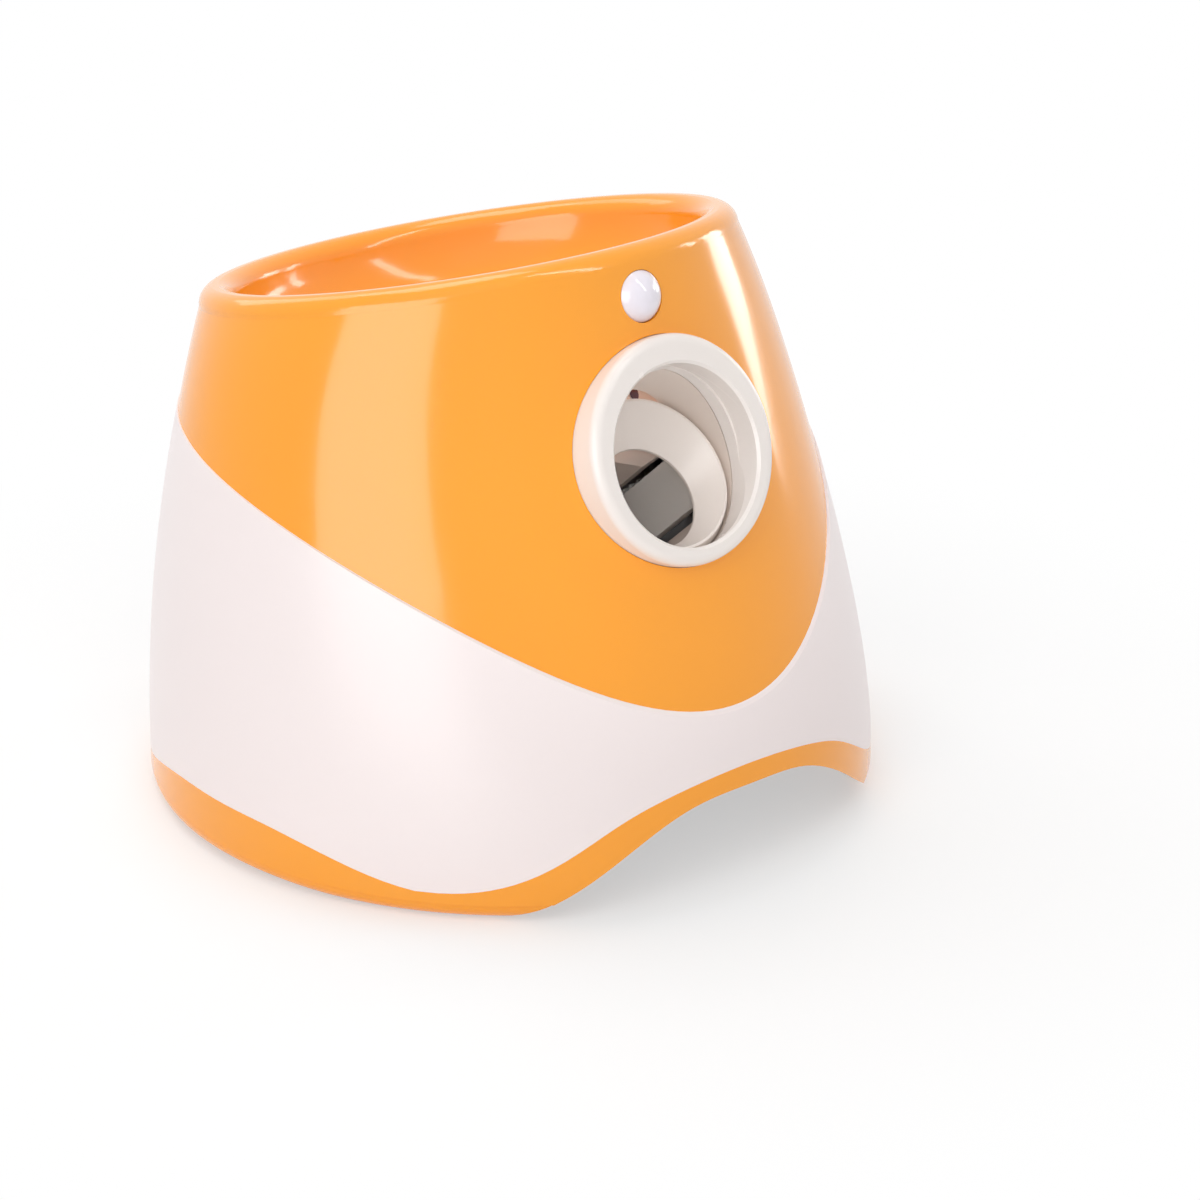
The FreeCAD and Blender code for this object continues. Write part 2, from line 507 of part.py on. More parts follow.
def make_deck():
    """Inner floor with the battery bay below it and the board's stand-offs above it."""
    plate = common("deck_plate", casing_solid("deck_form", "casing_wall + deck_gap"),
                   block("deck_slab", "-base_radius", "base_radius", "-base_radius - 10", "base_radius + 10",
                         "deck_low", "deck_top"))
    bay = block("bay_block", "-bay_half - bay_wall", "bay_half + bay_wall", "bay_front - bay_wall",
                "bay_back + bay_wall", "bay_bottom", "deck_low")
    stands = [rod("stand_%d" % i, "3 * small_screw", "standoff", *board_corner(sx, sy), z="deck_top")
              for i, (sx, sy) in enumerate(SIDES)]
    bosses = [rod("pad_boss_%d" % i, "post_size", "pad_bite + 2", x, y, "deck_low - pad_bite - 2")
              for i, (x, y) in enumerate(PAD_SCREWS)]
    door_top = "door_low + door_thick + door_gap"
    holes = [block("bay_hollow", "-bay_half", "bay_half", "bay_front", "bay_back", door_top, "deck_low"),
             block("bay_mouth", "-bay_half + 0.5", "bay_half - 0.5", "bay_front - bay_wall - 5",
                   "bay_back - 1", "0", "door_low"),
             block("door_groove", "-bay_half - groove_depth", "bay_half + groove_depth",
                   "bay_front - bay_wall - 5", "bay_back + bay_wall / 2", "door_low - door_gap", door_top),
             rod("lead_hole", "lead_way", "3 * deck_thick", "-bay_half + 2 * lead_way", "bay_front + 2 * lead_way",
                 "deck_low - deck_thick")]
    holes += [rod("deck_pass_%d" % i, "screw_radius + pass_gap", "3 * deck_thick", *foot_centre(sx, sy),
                  z="deck_low - deck_thick") for i, (sx, sy) in enumerate(SIDES)]
    for word, centre in (("post", post_centre), ("boss", boss_centre)):
        holes += [rod("%s_pass_%d" % (word, i), "screw_radius + pass_gap", "3 * deck_thick", *centre(sx, sy),
                      z="deck_low - deck_thick") for i, (sx, sy) in enumerate(SIDES)]
    holes += [rod("pad_pilot_%d" % i, "screw_radius", "pad_bite + deck_thick + 2", x, y, "deck_low - pad_bite - 1")
              for i, (x, y) in enumerate(PAD_SCREWS)]
    holes += [rod("stand_pilot_%d" % i, "small_screw", "standoff", *board_corner(sx, sy), z="deck_top")
              for i, (sx, sy) in enumerate(SIDES)]
    return node("base_deck", cut("base_deck_cut", join("base_deck_all", plate, bay, *(stands + bosses)), *holes))


def make_door():
    door = block("door_plate", "-bay_half - groove_depth + 0.3", "bay_half + groove_depth - 0.3",
                 "bay_front - bay_wall + 0.2", "bay_back + bay_wall / 2 - 0.3", "door_low",
                 "door_low + door_thick")
    grips = [block("door_grip_%d" % i, "-15", "15", "bay_front + %d" % (4 + 4 * i),
                   "bay_front + %d" % (6 + 4 * i), "door_low - 1", "door_low") for i in range(4)]
    return node("battery_door", join("battery_door_all", door, *grips))


def screw(name, x, y, seat, length, up=False):
    """A pan-head screw whose head sits on a seat and whose shank runs down, or up, from it."""
    head_low = "(%s) - screw_head_height" % seat if up else seat
    shank_low = seat if up else "(%s) - (%s)" % (seat, length)
    head = rod(name + "_head", "screw_head", "screw_head_height", x, y, head_low)
    shank = rod(name + "_shank", "screw_radius - screw_gap", length, x, y, shank_low)
    return join(name, head, shank)


def make_casing_screws():
    through = "deck_thick + screw_bite"
    deck = [screw("deck_screw_%d" % i, *foot_centre(sx, sy), seat="deck_top", length=through)
            for i, (sx, sy) in enumerate(SIDES)]
    node("deck_screws", group("deck_screw_set", *deck))
    shell = [screw("shell_screw_%d" % i, *post_centre(sx, sy), seat="deck_low", length=through, up=True)
             for i, (sx, sy) in enumerate(SIDES)]
    shell += [screw("body_screw_%d" % i, *boss_centre(sx, sy), seat="deck_low", length=through, up=True)
              for i, (sx, sy) in enumerate(SIDES)]
    node("shell_screws", group("shell_screw_set", *shell))
    barrel = [screw("barrel_screw_%d" % i, x, y, "deck_top + pad_thick", "pad_thick + deck_thick + pad_bite")
              for i, (x, y) in enumerate(PAD_SCREWS)]
    node("barrel_screws", group("barrel_screw_set", *barrel))


EARS = ("sector_place - ear_front", "sector_place + ear_back")


def make_barrel():
    """Barrel with its throat, side window, legs and the ears that carry the gearbox."""
    tube = rod("barrel_tube", "bore_out", "barrel_back + barrel_reach", y="-barrel_reach", along="y")
    throat = rod("throat_tube", "throat_radius + barrel_wall", "throat_top", y="throat_place")
    ears = [block("gear_ear_%d" % i, "bore_radius - ear_half", "ear_x + ear_half", "%s - ear_half" % place,
                  "%s + ear_half" % place, "-plate_low - ear_thick", "-plate_low") for i, place in enumerate(EARS)]
    rod_lug = block("rod_lug", "-rod_place - 5", "-bore_radius - 1", "2", "5.5", "-lug_half", "lug_half")
    shape = in_barrel(join("barrel_solid", tube, throat, rod_lug, *ears))
    front = casing_solid("barrel_limit", "casing_wall + barrel_inset")
    shape = common("barrel_in_casing", shape, front)
    legs = []
    for i, place in enumerate(("leg_front", "leg_rear")):
        top = "barrel_height - (%s - barrel_y) * tan(barrel_tilt * 1deg)" % place
        legs.append(block("leg_%d" % i, "-leg_half", "leg_half", "%s - leg_thick / 2" % place,
                          "%s + leg_thick / 2" % place, "deck_top", top))
        legs.append(block("leg_foot_%d" % i, "-leg_pad", "leg_pad", "%s - pad_half" % place, "%s + pad_half" % place,
                          "deck_top", "deck_top + pad_thick"))
    hollow = join("barrel_hollow_all",
                  rod("bore", "bore_radius", "barrel_back + 2 * barrel_reach", y="-2 * barrel_reach", along="y"),
                  rod("throat_bore", "throat_radius", "throat_top + 1", y="throat_place"),
                  block("side_window", "20", "bore_radius + 12", "window_front", "barrel_back + 2",
                        "-window_half", "window_half"),
                  block("lug_slot", "-bore_radius - 12", "-20", "lug_slot_front", "barrel_back + 2",
                        "-lug_slot_half", "lug_slot_half"),
                  rod("rod_hole_front", "rod_radius + press_gap", "8", "-rod_place", "0", along="y"),
                  rod("emitter_hole", "lamp_radius + pass_gap", "4 * throat_radius", "-2 * throat_radius",
                      "throat_place", "throat_top - lamp_drop", along="x"),
                  *[rod("ear_pilot_%d" % i, "screw_radius", "2 * ear_thick", "ear_x", place,
                        "-plate_low - 1.5 * ear_thick") for i, place in enumerate(EARS)],
                  *[rod("frame_pilot_%d" % i, "small_screw", "8", x, "barrel_back - 7", z, along="y")
                    for i, (x, z) in enumerate(FRAME_SCREWS)])
    pilots = [rod("leg_pilot_%d" % i, "screw_radius + pass_gap", "2 * pad_thick", x, y, "deck_top - 1")
              for i, (x, y) in enumerate(PAD_SCREWS)]
    whole = cut("barrel_cut", join("barrel_all", shape, *legs), in_barrel(hollow), *pilots)
    return node("launch_barrel", whole)


FRAME_TURNS = (215, 270, 325)
FRAME_SCREWS = [("%.4f * (bore_radius + barrel_wall / 2)" % math.cos(math.radians(turn)),
                 "%.4f * (bore_radius + barrel_wall / 2)" % math.sin(math.radians(turn)))
                for turn in FRAME_TURNS]


def make_rear_frame():
    """Frame across the barrel's back: it holds the guide rod and leaves the gate and rack their ways."""
    disc = rod("frame_disc", "bore_out", "frame_thick", y="barrel_back", along="y")
    arm = block("frame_arm", "-rod_place - 5", "-frame_hole", "barrel_back", "barrel_back + frame_thick",
                "-lug_half", "lug_half")
    holes = [rod("frame_hole_cut", "frame_hole", "10", y="barrel_back - 2", along="y"),
             block("gate_way", "-gate_half - 3", "60", "barrel_back - 1", "barrel_back + 8",
                   "frame_hole * 0.7", "60"),
             block("rack_way", "frame_hole * 0.7", "60", "barrel_back - 1", "barrel_back + 8",
                   "-window_half", "60"),
             rod("rod_hole_back", "rod_radius + press_gap", "20", "-rod_place", "barrel_back - 5", along="y")]
    holes += [rod("frame_pass_%d" % i, "small_screw + pass_gap", "20", x, "barrel_back - 5", z, along="y")
              for i, (x, z) in enumerate(FRAME_SCREWS)]
    node("rear_frame", in_barrel(cut("rear_frame_cut", join("rear_frame_all", disc, arm), *holes)))
    screws = []
    for i, (x, z) in enumerate(FRAME_SCREWS):
        head = rod("frame_head_%d" % i, "small_head", "small_head_height", x, "barrel_back + frame_thick", z, along="y")
        shank = rod("frame_shank_%d" % i, "small_screw - small_gap", "frame_thick + 6", x, "barrel_back - 6", z,
                    along="y")
        screws.append(join("frame_screw_%d" % i, head, shank))
    node("frame_screws", in_barrel(group("frame_screw_set", *screws)))


def make_muzzle_ring():
    """Thick rounded ring through the sloped front, with a flange behind the shell."""
    depth, proud = size("muzzle_depth"), size("muzzle_proud")
    body = Part.makeCylinder(size("muzzle_radius"), depth + proud, V(0, 0, -depth))
    front_edge = [edge for edge in body.Edges if edge.BoundBox.ZMin > proud - 0.1]
    body = feature("ring_body", body.makeFillet(size("muzzle_round"), front_edge))
    flange = rod("ring_flange", "muzzle_radius + muzzle_flange", "muzzle_depth", z="-muzzle_depth")
    flange = common("ring_flange_in", in_muzzle(flange), casing_solid("flange_outer", "casing_wall + flange_gap"))
    whole = join("ring_all", in_muzzle(body), flange)
    behind = casing_solid("ring_back", "casing_wall + muzzle_seat")
    lip = rod("lip_bore", "muzzle_lip", "muzzle_depth", y="-muzzle_drop", z="-lip_depth")
    soft = taper("lip_flare", "muzzle_lip", "muzzle_lip + 2 * lip_soft", "2 * lip_soft", y="-muzzle_drop",
                 z="muzzle_proud - lip_soft")
    path = in_barrel(rod("ring_path", "bore_radius", "barrel_back", y="-ring_path_reach", along="y"))
    return node("muzzle_ring", cut("muzzle_ring_cut", whole, behind, in_muzzle(join("ring_bore", lip, soft)), path))


def make_cup():
    """Plunger cup: dished ring, gate over the throat and the lug that the spring pushes."""
    band = "bore_radius - guide_gap"
    nose = taper("cup_nose", "cup_front_radius", band, "4", along="y")
    back = rod("cup_band", band, "cup_length - 4", y="4", along="y")
    gate = common("gate", cut("gate_tube", rod("gate_out", "bore_radius - 1", "cup_length + gate_length - 8",
                                               y="8", along="y"),
                              rod("gate_in", "bore_radius - 1 - gate_thick", "200", y="0", along="y")),
                  block("gate_limit", "-gate_half", "gate_half", "0", "200", "0", "60"))
    lug = block("cup_lug", "-rod_place - 5", "-24", "lug_front", "cup_length", "-lug_half", "lug_half")
    front = ring("dish_front", "cup_front_radius - cup_edge", "cup_front_radius - cup_edge", "0", "0", "90")
    end = ring("dish_end", "dish_hole", "dish_hole", "dish_depth", "-dish_drop", "90")
    holes = [loft("dish", [front, end]),
             rod("dish_through", "dish_hole", "cup_length", y="0", z="-dish_drop", along="y"),
             taper("dish_relief", "dish_hole", "dish_hole + cup_length - dish_depth - dish_land + 1",
                   "cup_length - dish_depth - dish_land + 1", y="dish_depth + dish_land", z="-dish_drop",
                   along="y"),
             block("strip_notch", "strip_inner", "60", "rack_front", "40", "-strip_half - 0.1",
                   "strip_half + 0.1"),
             rod("lug_bore", "rod_radius + rod_gap", "40", "-rod_place", "0", along="y")]
    return node("plunger_cup", in_barrel(cut("cup_cut", join("cup_all", nose, back, gate, lug), *holes)))


def rack_teeth():
    """Rack teeth facing the sector gear, in mesh with its first tooth at rest."""
    pitch, deep = math.pi * size("sector_module"), 1.25 * size("sector_module")
    high, half = size("sector_module"), size("rack_half")
    slope = math.tan(math.radians(20))
    root = size("rack_line") - deep
    thick = pitch / 2 - size("backlash")
    shapes = []
    for k in range(int(size("sector_teeth") // 2)):
        middle = size("sector_place") - (k + 0.5) * pitch
        foot, tip = thick / 2 + deep * slope, thick / 2 - high * slope
        points = [V(root - 0.01, middle - foot, -half), V(root - 0.01, middle + foot, -half),
                  V(root + deep + high, middle + tip, -half), V(root + deep + high, middle - tip, -half)]
        shapes.append(Part.Face(Part.makePolygon(points + points[:1])).extrude(V(0, 0, 2 * half)))
    return shapes


def make_rack():
    root = size("rack_line") - 1.25 * size("sector_module")
    back = size("sector_place") + 2.2
    strip = Part.makeBox(size("strip_outer") - size("strip_inner"), back - size("rack_front"),
                         2 * size("strip_half"), V(size("strip_inner"), size("rack_front"), -size("strip_half")))
    bar = Part.makeBox(root - size("strip_outer"), back - size("rack_front"), 2 * size("rack_half"),
                       V(size("strip_outer"), size("rack_front"), -size("rack_half")))
    shape = strip.multiFuse([bar] + rack_teeth()).removeSplitter()
    return node("plunger_rack", feature("plunger_rack_solid", shape, barrel_frame()))


def coil_path(centre, start, low_radius, high_radius, length, turns):
    """A helix along local Y as one wire of quarter-turn arcs."""
    steps = int(round(turns * 4))

    def spot(step):
        share = step / steps
        radius = low_radius + (high_radius - low_radius) * share
        turn = 2 * math.pi * turns * share
        place = centre + V(radius * math.cos(turn), start + length * share, radius * math.sin(turn))
        round_rate, grow_rate = 2 * math.pi * turns * radius, high_radius - low_radius
        way = V(grow_rate * math.cos(turn) - round_rate * math.sin(turn), length,
                grow_rate * math.sin(turn) + round_rate * math.cos(turn))
        return place, way.normalize()
    arcs = []
    for k in range(steps):
        (here, out), (there, arrive) = spot(k), spot(k + 1)
        gap, both = there - here, out + arrive
        apart = 2 * (1 - out.dot(arrive))
        reach = (math.sqrt(gap.dot(both) ** 2 + apart * gap.dot(gap)) - gap.dot(both)) / apart
        first, second = here + out * reach, there - arrive * reach
        joint = (first + second) * 0.5
        arcs += [arc_by_corner(here, first, joint), arc_by_corner(joint, second, there)]
    return Part.Wire(arcs)


def arc_by_corner(start, corner, end):
    """The arc from start to end that both lines through the corner touch."""
    chord = (start + end) * 0.5
    rise = corner - chord
    half = math.atan2(rise.Length, (start - chord).Length)
    bulge = (start - chord).Length / math.sin(half) * (1 - math.cos(half))
    return Part.Arc(start, chord + rise.normalize() * bulge, end).toShape()


def least_gap(path, wire, turns):
    """Least space between a coil's neighbouring turns, measured on points along its path."""
    points = path.discretize(int(turns * 24) + 1)
    apart = min((a - b).Length for i, a in enumerate(points) for b in points[i + 12:])
    return apart - 2 * wire


def coil(label, centre, start, low_radius, high_radius, length, turns, wire):
    path = coil_path(centre, start, low_radius, high_radius, length, turns)
    print("%s: least gap between turns %.2f mm" % (label, least_gap(path, wire, turns)))
    first = path.Edges[0]
    way = first.tangentAt(first.FirstParameter)
    circle = Part.Wire(Part.Circle(first.valueAt(first.FirstParameter), way, wire).toShape())
    return Part.Wire(path).makePipeShell([circle], True, False)


def make_spring():
    wire = size("coil_wire") / 2
    start, end = size("cup_length") + wire, size("barrel_back") - wire
    shape = coil("launch spring", V(-size("rod_place"), 0, 0), start, size("coil_radius"), size("coil_radius"),
                 end - start, size("coil_turns"), wire)
    node("launch_spring", feature("launch_spring_coil", shape, barrel_frame()))
    guide = rod("guide_rod", "rod_radius", "barrel_back + frame_thick - 2", "-rod_place", "2", along="y")
    node("spring_rod", in_barrel(guide))
    node("plunger_bumper", in_barrel(block("bumper_block", "bore_radius + 0.2", "bore_radius + 5",
                                           "window_front", "window_front + bumper_thick",
                                           "-rack_half", "rack_half")))


def involute(turn):
    return math.tan(turn) - turn


def gear_wire(teeth, module, phase, present=None, deep=1.25, high=1.0):
    """Outline of a spur gear; phase is the angle of tooth 0, present lists the teeth it has."""
    pitch = module * teeth / 2
    base, root, tip = pitch * math.cos(math.radians(20)), pitch - deep * module, pitch + high * module
    half = math.pi / (2 * teeth) - size("backlash") / (2 * pitch) + involute(math.radians(20))

    def at(radius, turn):
        return V(radius * math.cos(turn), radius * math.sin(turn), 0)

    def spread(radius):
        return half - involute(math.acos(min(1, base / max(radius, base))))
    low = max(base, root)
    middle = (low + tip) / 2
    step = 2 * math.pi / teeth
    present = list(range(int(teeth))) if present is None else present
    edges = []
    for place, k in enumerate(present):
        turn = phase + k * step
        after = phase + present[(place + 1) % len(present)] * step
        if after <= turn:
            after += 2 * math.pi
        if root < low - 1e-6:
            edges.append(Part.makeLine(at(root, turn - spread(low)), at(low, turn - spread(low))))
        edges.append(Part.Arc(at(low, turn - spread(low)), at(middle, turn - spread(middle)),
                              at(tip, turn - spread(tip))).toShape())
        edges.append(Part.Arc(at(tip, turn - spread(tip)), at(tip, turn), at(tip, turn + spread(tip))).toShape())
        edges.append(Part.Arc(at(tip, turn + spread(tip)), at(middle, turn + spread(middle)),
                              at(low, turn + spread(low))).toShape())
        if root < low - 1e-6:
            edges.append(Part.makeLine(at(low, turn + spread(low)), at(root, turn + spread(low))))
        start, end = turn + spread(low), after - spread(low)
        edges.append(Part.Arc(at(root, start), at(root, (start + end) / 2), at(root, end)).toShape())
    return Part.Wire(edges)


def gear(teeth, module, phase, width, low, x, y, present=None, deep=1.25, high=1.0):
    face = Part.Face(gear_wire(teeth, module, phase, present, deep, high))
    face.translate(V(x, y, low))
    return face.extrude(V(0, 0, width))


def gear_train():
    """Centre places, pitch radii and tooth phases of the train, from the sector to the motor."""
    place = {"sector": V(size("rack_line") + size("sector_module") * size("sector_teeth") / 2,
                         size("sector_place"), 0)}
    pairs = [("second", "sector", "final_module", "final_teeth", "second_pinion_teeth", "second_bearing"),
             ("first", "second", "second_module", "second_teeth", "first_pinion_teeth", "first_bearing"),
             ("motor", "first", "first_module", "first_teeth", "motor_pinion_teeth", "motor_bearing")]
    phase = {"sector": math.pi}
    for small, large, module, wheel, pinion, bearing in pairs:
        turn = math.radians(size(bearing))
        reach = size(module) * (size(wheel) + size(pinion)) / 2 + 0.02
        place[small] = place[large] + V(reach * math.cos(turn), reach * math.sin(turn), 0)
        phase[large + "_wheel"] = turn
        phase[small + "_pinion"] = turn + math.pi + math.pi / size(pinion)
    return place, phase


def make_gears():
    """Spur gears on parallel axes; each stage starts one gap above the one before."""
    place, phase = gear_train()
    gap = size("gear_gap")
    levels = {"final": size("sector_half") + 2 * gap}
    levels["second"] = levels["final"] + size("final_width") + gap
    levels["first"] = levels["second"] + size("second_width") + gap
    frame = barrel_frame()
    half, shaft = size("sector_half"), size("shaft_radius")

    def bored(shape, radius, at):
        return shape.cut(Part.makeCylinder(radius, FAR, V(at.x, at.y, -FAR / 2)))
    at = place["sector"]
    teeth = int(size("sector_teeth"))
    sector = gear(teeth, size("sector_module"), phase["sector"], 2 * half, -half, at.x, at.y,
                  list(range(teeth // 2 + 1)))
    node("sector_gear", feature("sector_gear_solid", bored(sector, shaft, at), frame))
    final = gear(size("final_teeth"), size("final_module"), phase["sector_wheel"], size("final_width"),
                 levels["final"], at.x, at.y, high=0.95)
    final = final.fuse(Part.makeCylinder(shaft + 3, levels["final"] - half, V(at.x, at.y, half)))
    node("final_gear", feature("final_gear_solid", bored(final.removeSplitter(), shaft, at), frame))
    low, high = -size("plate_low") - 2, size("plate_high") + size("plate_thick") + 1
    axle = Part.makeCylinder(shaft, high - low, V(at.x, at.y, low))
    node("sector_shaft", feature("sector_shaft_solid", axle, frame))
    at = place["second"]
    wheel = gear(size("second_teeth"), size("second_module"), phase["second_wheel"], size("second_width"),
                 levels["second"], at.x, at.y, high=0.95)
    pinion = gear(size("second_pinion_teeth"), size("final_module"), phase["second_pinion"],
                  levels["second"] - levels["final"], levels["final"], at.x, at.y, deep=1.35)
    spacer = Part.makeCylinder(3.5, levels["final"] + size("plate_low") - size("plate_thick") - 0.2,
                               V(at.x, at.y, -size("plate_low") + size("plate_thick") + 0.2))
    whole = wheel.multiFuse([pinion, spacer]).removeSplitter()
    node("second_gear", feature("second_gear_solid", bored(whole, size("pin_radius") + size("run_gap"), at), frame))
    at = place["first"]
    wheel = gear(size("first_teeth"), size("first_module"), phase["first_wheel"], size("first_width"),
                 levels["first"], at.x, at.y, high=0.95)
    pinion = gear(size("first_pinion_teeth"), size("second_module"), phase["first_pinion"],
                  levels["first"] - levels["second"], levels["second"], at.x, at.y, deep=1.35)
    spacer = Part.makeCylinder(3.2, levels["second"] + size("plate_low") - size("plate_thick") - 0.2,
                               V(at.x, at.y, -size("plate_low") + size("plate_thick") + 0.2))
    whole = wheel.multiFuse([pinion, spacer]).removeSplitter()
    node("first_gear", feature("first_gear_solid", bored(whole, size("pin_radius") + size("run_gap"), at), frame))
    at = place["motor"]
    pinion = gear(size("motor_pinion_teeth"), size("first_module"), phase["motor_pinion"],
                  size("first_width") + 1.5, levels["first"] - 0.5, at.x, at.y, deep=1.35)
    node("motor_pinion", feature("motor_pinion_solid", bored(pinion, size("motor_shaft_radius"), at), frame))
    top = size("plate_high") + size("plate_thick") + size("motor_length") - 3
    rotor = Part.makeCylinder(size("motor_shaft_radius"), top - levels["first"] + 0.5,
                              V(at.x, at.y, levels["first"] - 0.5))
    node("motor_shaft", feature("motor_shaft_solid", rotor, frame))


def plate_face(height):
    """The gearbox plates' outline, cut back where the casing's front curves in."""
    left, right = size("plate_left"), size("plate_right")
    front, back = size("plate_front"), size("plate_back")
    points = [V(left, front, height), V(right - 14, front, height), V(right, front + 16, height),
              V(right, back, height), V(left, back, height)]
    return Part.Face(Part.makePolygon(points + points[:1]))


def post_places():
    left, front, back = size("plate_left"), size("plate_front"), size("plate_back")
    return [(left + 7, front + 3.5), (left + 30, front + 3.5), (left + 7, back - 3.5),
            (size("plate_right") - 4, back - 4)]


def ear_spots():
    return [(size("ear_x"), size("sector_place") - size("ear_front")),
            (size("ear_x"), size("sector_place") + size("ear_back"))]


def make_gearbox():
    """Two plates on posts, the pins between them and the bushes of the sector shaft."""
    place, _ = gear_train()
    frame = barrel_frame()
    thick, low, high = size("plate_thick"), size("plate_low"), size("plate_high")
    pin, bush = size("pin_radius"), size("bush_radius")

    def drill(shape, radius, x, y, start=-FAR / 2, length=FAR):
        return shape.cut(Part.makeCylinder(radius, length, V(x, y, start)))
    base = plate_face(-low).extrude(V(0, 0, thick))
    cover = plate_face(high).extrude(V(0, 0, thick))
    posts = [Part.makeCylinder(size("post_radius"), high + low - thick, V(x, y, thick - low))
             for x, y in post_places()]
    base = base.multiFuse(posts).removeSplitter()
    screw_size, pilot = size("screw_radius"), 9
    for x, y in post_places():
        base = drill(base, screw_size, x, y, high - pilot, pilot)
        cover = drill(cover, screw_size + 0.1, x, y)
    for x, y in ear_spots():
        base = drill(base, screw_size + size("pass_gap"), x, y)
    at = place["sector"]
    base, cover = drill(base, bush, at.x, at.y), drill(cover, bush, at.x, at.y)
    for name in ("second", "first"):
        base, cover = [drill(plate, pin, place[name].x, place[name].y) for plate in (base, cover)]
        axle = Part.makeCylinder(pin, high + low + thick, V(place[name].x, place[name].y, -low))
        node(name + "_pin", feature(name + "_pin_solid", axle, frame))
    cover = drill(cover, 4, place["motor"].x, place["motor"].y)
    for side in (-1, 1):
        cover = drill(cover, screw_size * 0.8, place["motor"].x + 8 * side, place["motor"].y)
    node("gearbox_base", feature("gearbox_base_solid", base, frame))
    node("gearbox_cover", feature("gearbox_cover_solid", cover, frame))
    bushes = [Part.makeCylinder(bush, thick, V(at.x, at.y, level)).cut(
        Part.makeCylinder(size("shaft_radius") + size("run_gap"), thick, V(at.x, at.y, level)))
        for level in (-low, high)]
    node("shaft_bushes", feature("shaft_bush_pair", Part.Compound(bushes), frame))


def screw_shape(x, y, seat, length, radius, head, head_height, way=1):
    shank = Part.makeCylinder(radius, length, V(x, y, seat), V(0, 0, -way))
    return shank.fuse(Part.makeCylinder(head, head_height, V(x, y, seat), V(0, 0, way))).removeSplitter()


def make_gearbox_screws():
    place, _ = gear_train()
    thick, top = size("plate_thick"), size("plate_high") + size("plate_thick")
    screw_size, head, tall = size("screw_radius") - 0.05, size("screw_head"), size("screw_head_height")
    screws = [screw_shape(x, y, top, thick + 7, screw_size, head, tall) for x, y in post_places()]
    for x, y in ear_spots():
        screws.append(screw_shape(x, y, thick - size("plate_low"), thick + size("ear_thick"), screw_size,
                                  head, tall))
    node("gearbox_screws", feature("gearbox_screw_set", Part.Compound(screws), barrel_frame()))
    at = place["motor"]
    small = [screw_shape(at.x + 8 * side, at.y, size("plate_high"), thick + 3, screw_size * 0.75, 1.9, 1.4, -1)
             for side in (-1, 1)]
    node("motor_screws", feature("motor_screw_pair", Part.Compound(small), barrel_frame()))


def make_motor():
    place, _ = gear_train()
    at, low = place["motor"], size("plate_high") + size("plate_thick")
    radius, length = size("motor_radius"), size("motor_length")
    frame = barrel_frame()
    can = Part.makeCylinder(radius, length, V(at.x, at.y, low))
    can = can.fuse(Part.makeCylinder(3.9, size("plate_thick"), V(at.x, at.y, size("plate_high"))))
    can = can.cut(Part.makeCylinder(size("motor_shaft_radius") + size("run_gap"), length, V(at.x, at.y, low - 5)))
    can = can.cut(Part.makeCylinder(radius - 1, length - 4, V(at.x, at.y, low + 3)))
    for side in (-1, 1):
        can = can.cut(Part.makeCylinder(size("screw_radius") * 0.75, 10, V(at.x + 8 * side, at.y, low - 3)))
    node("motor_can", feature("motor_can_solid", can.removeSplitter(), frame))
    cap = Part.makeCylinder(radius - 0.4, size("motor_cap"), V(at.x, at.y, low + length))
    cap = cap.multiFuse([Part.makeBox(1, 2.4, 5, V(at.x + 6 * side - 0.5, at.y - 1.2, low + length))
                         for side in (-1, 1)])
    node("motor_end_cap", feature("motor_end_cap_solid", cap.removeSplitter(), frame))


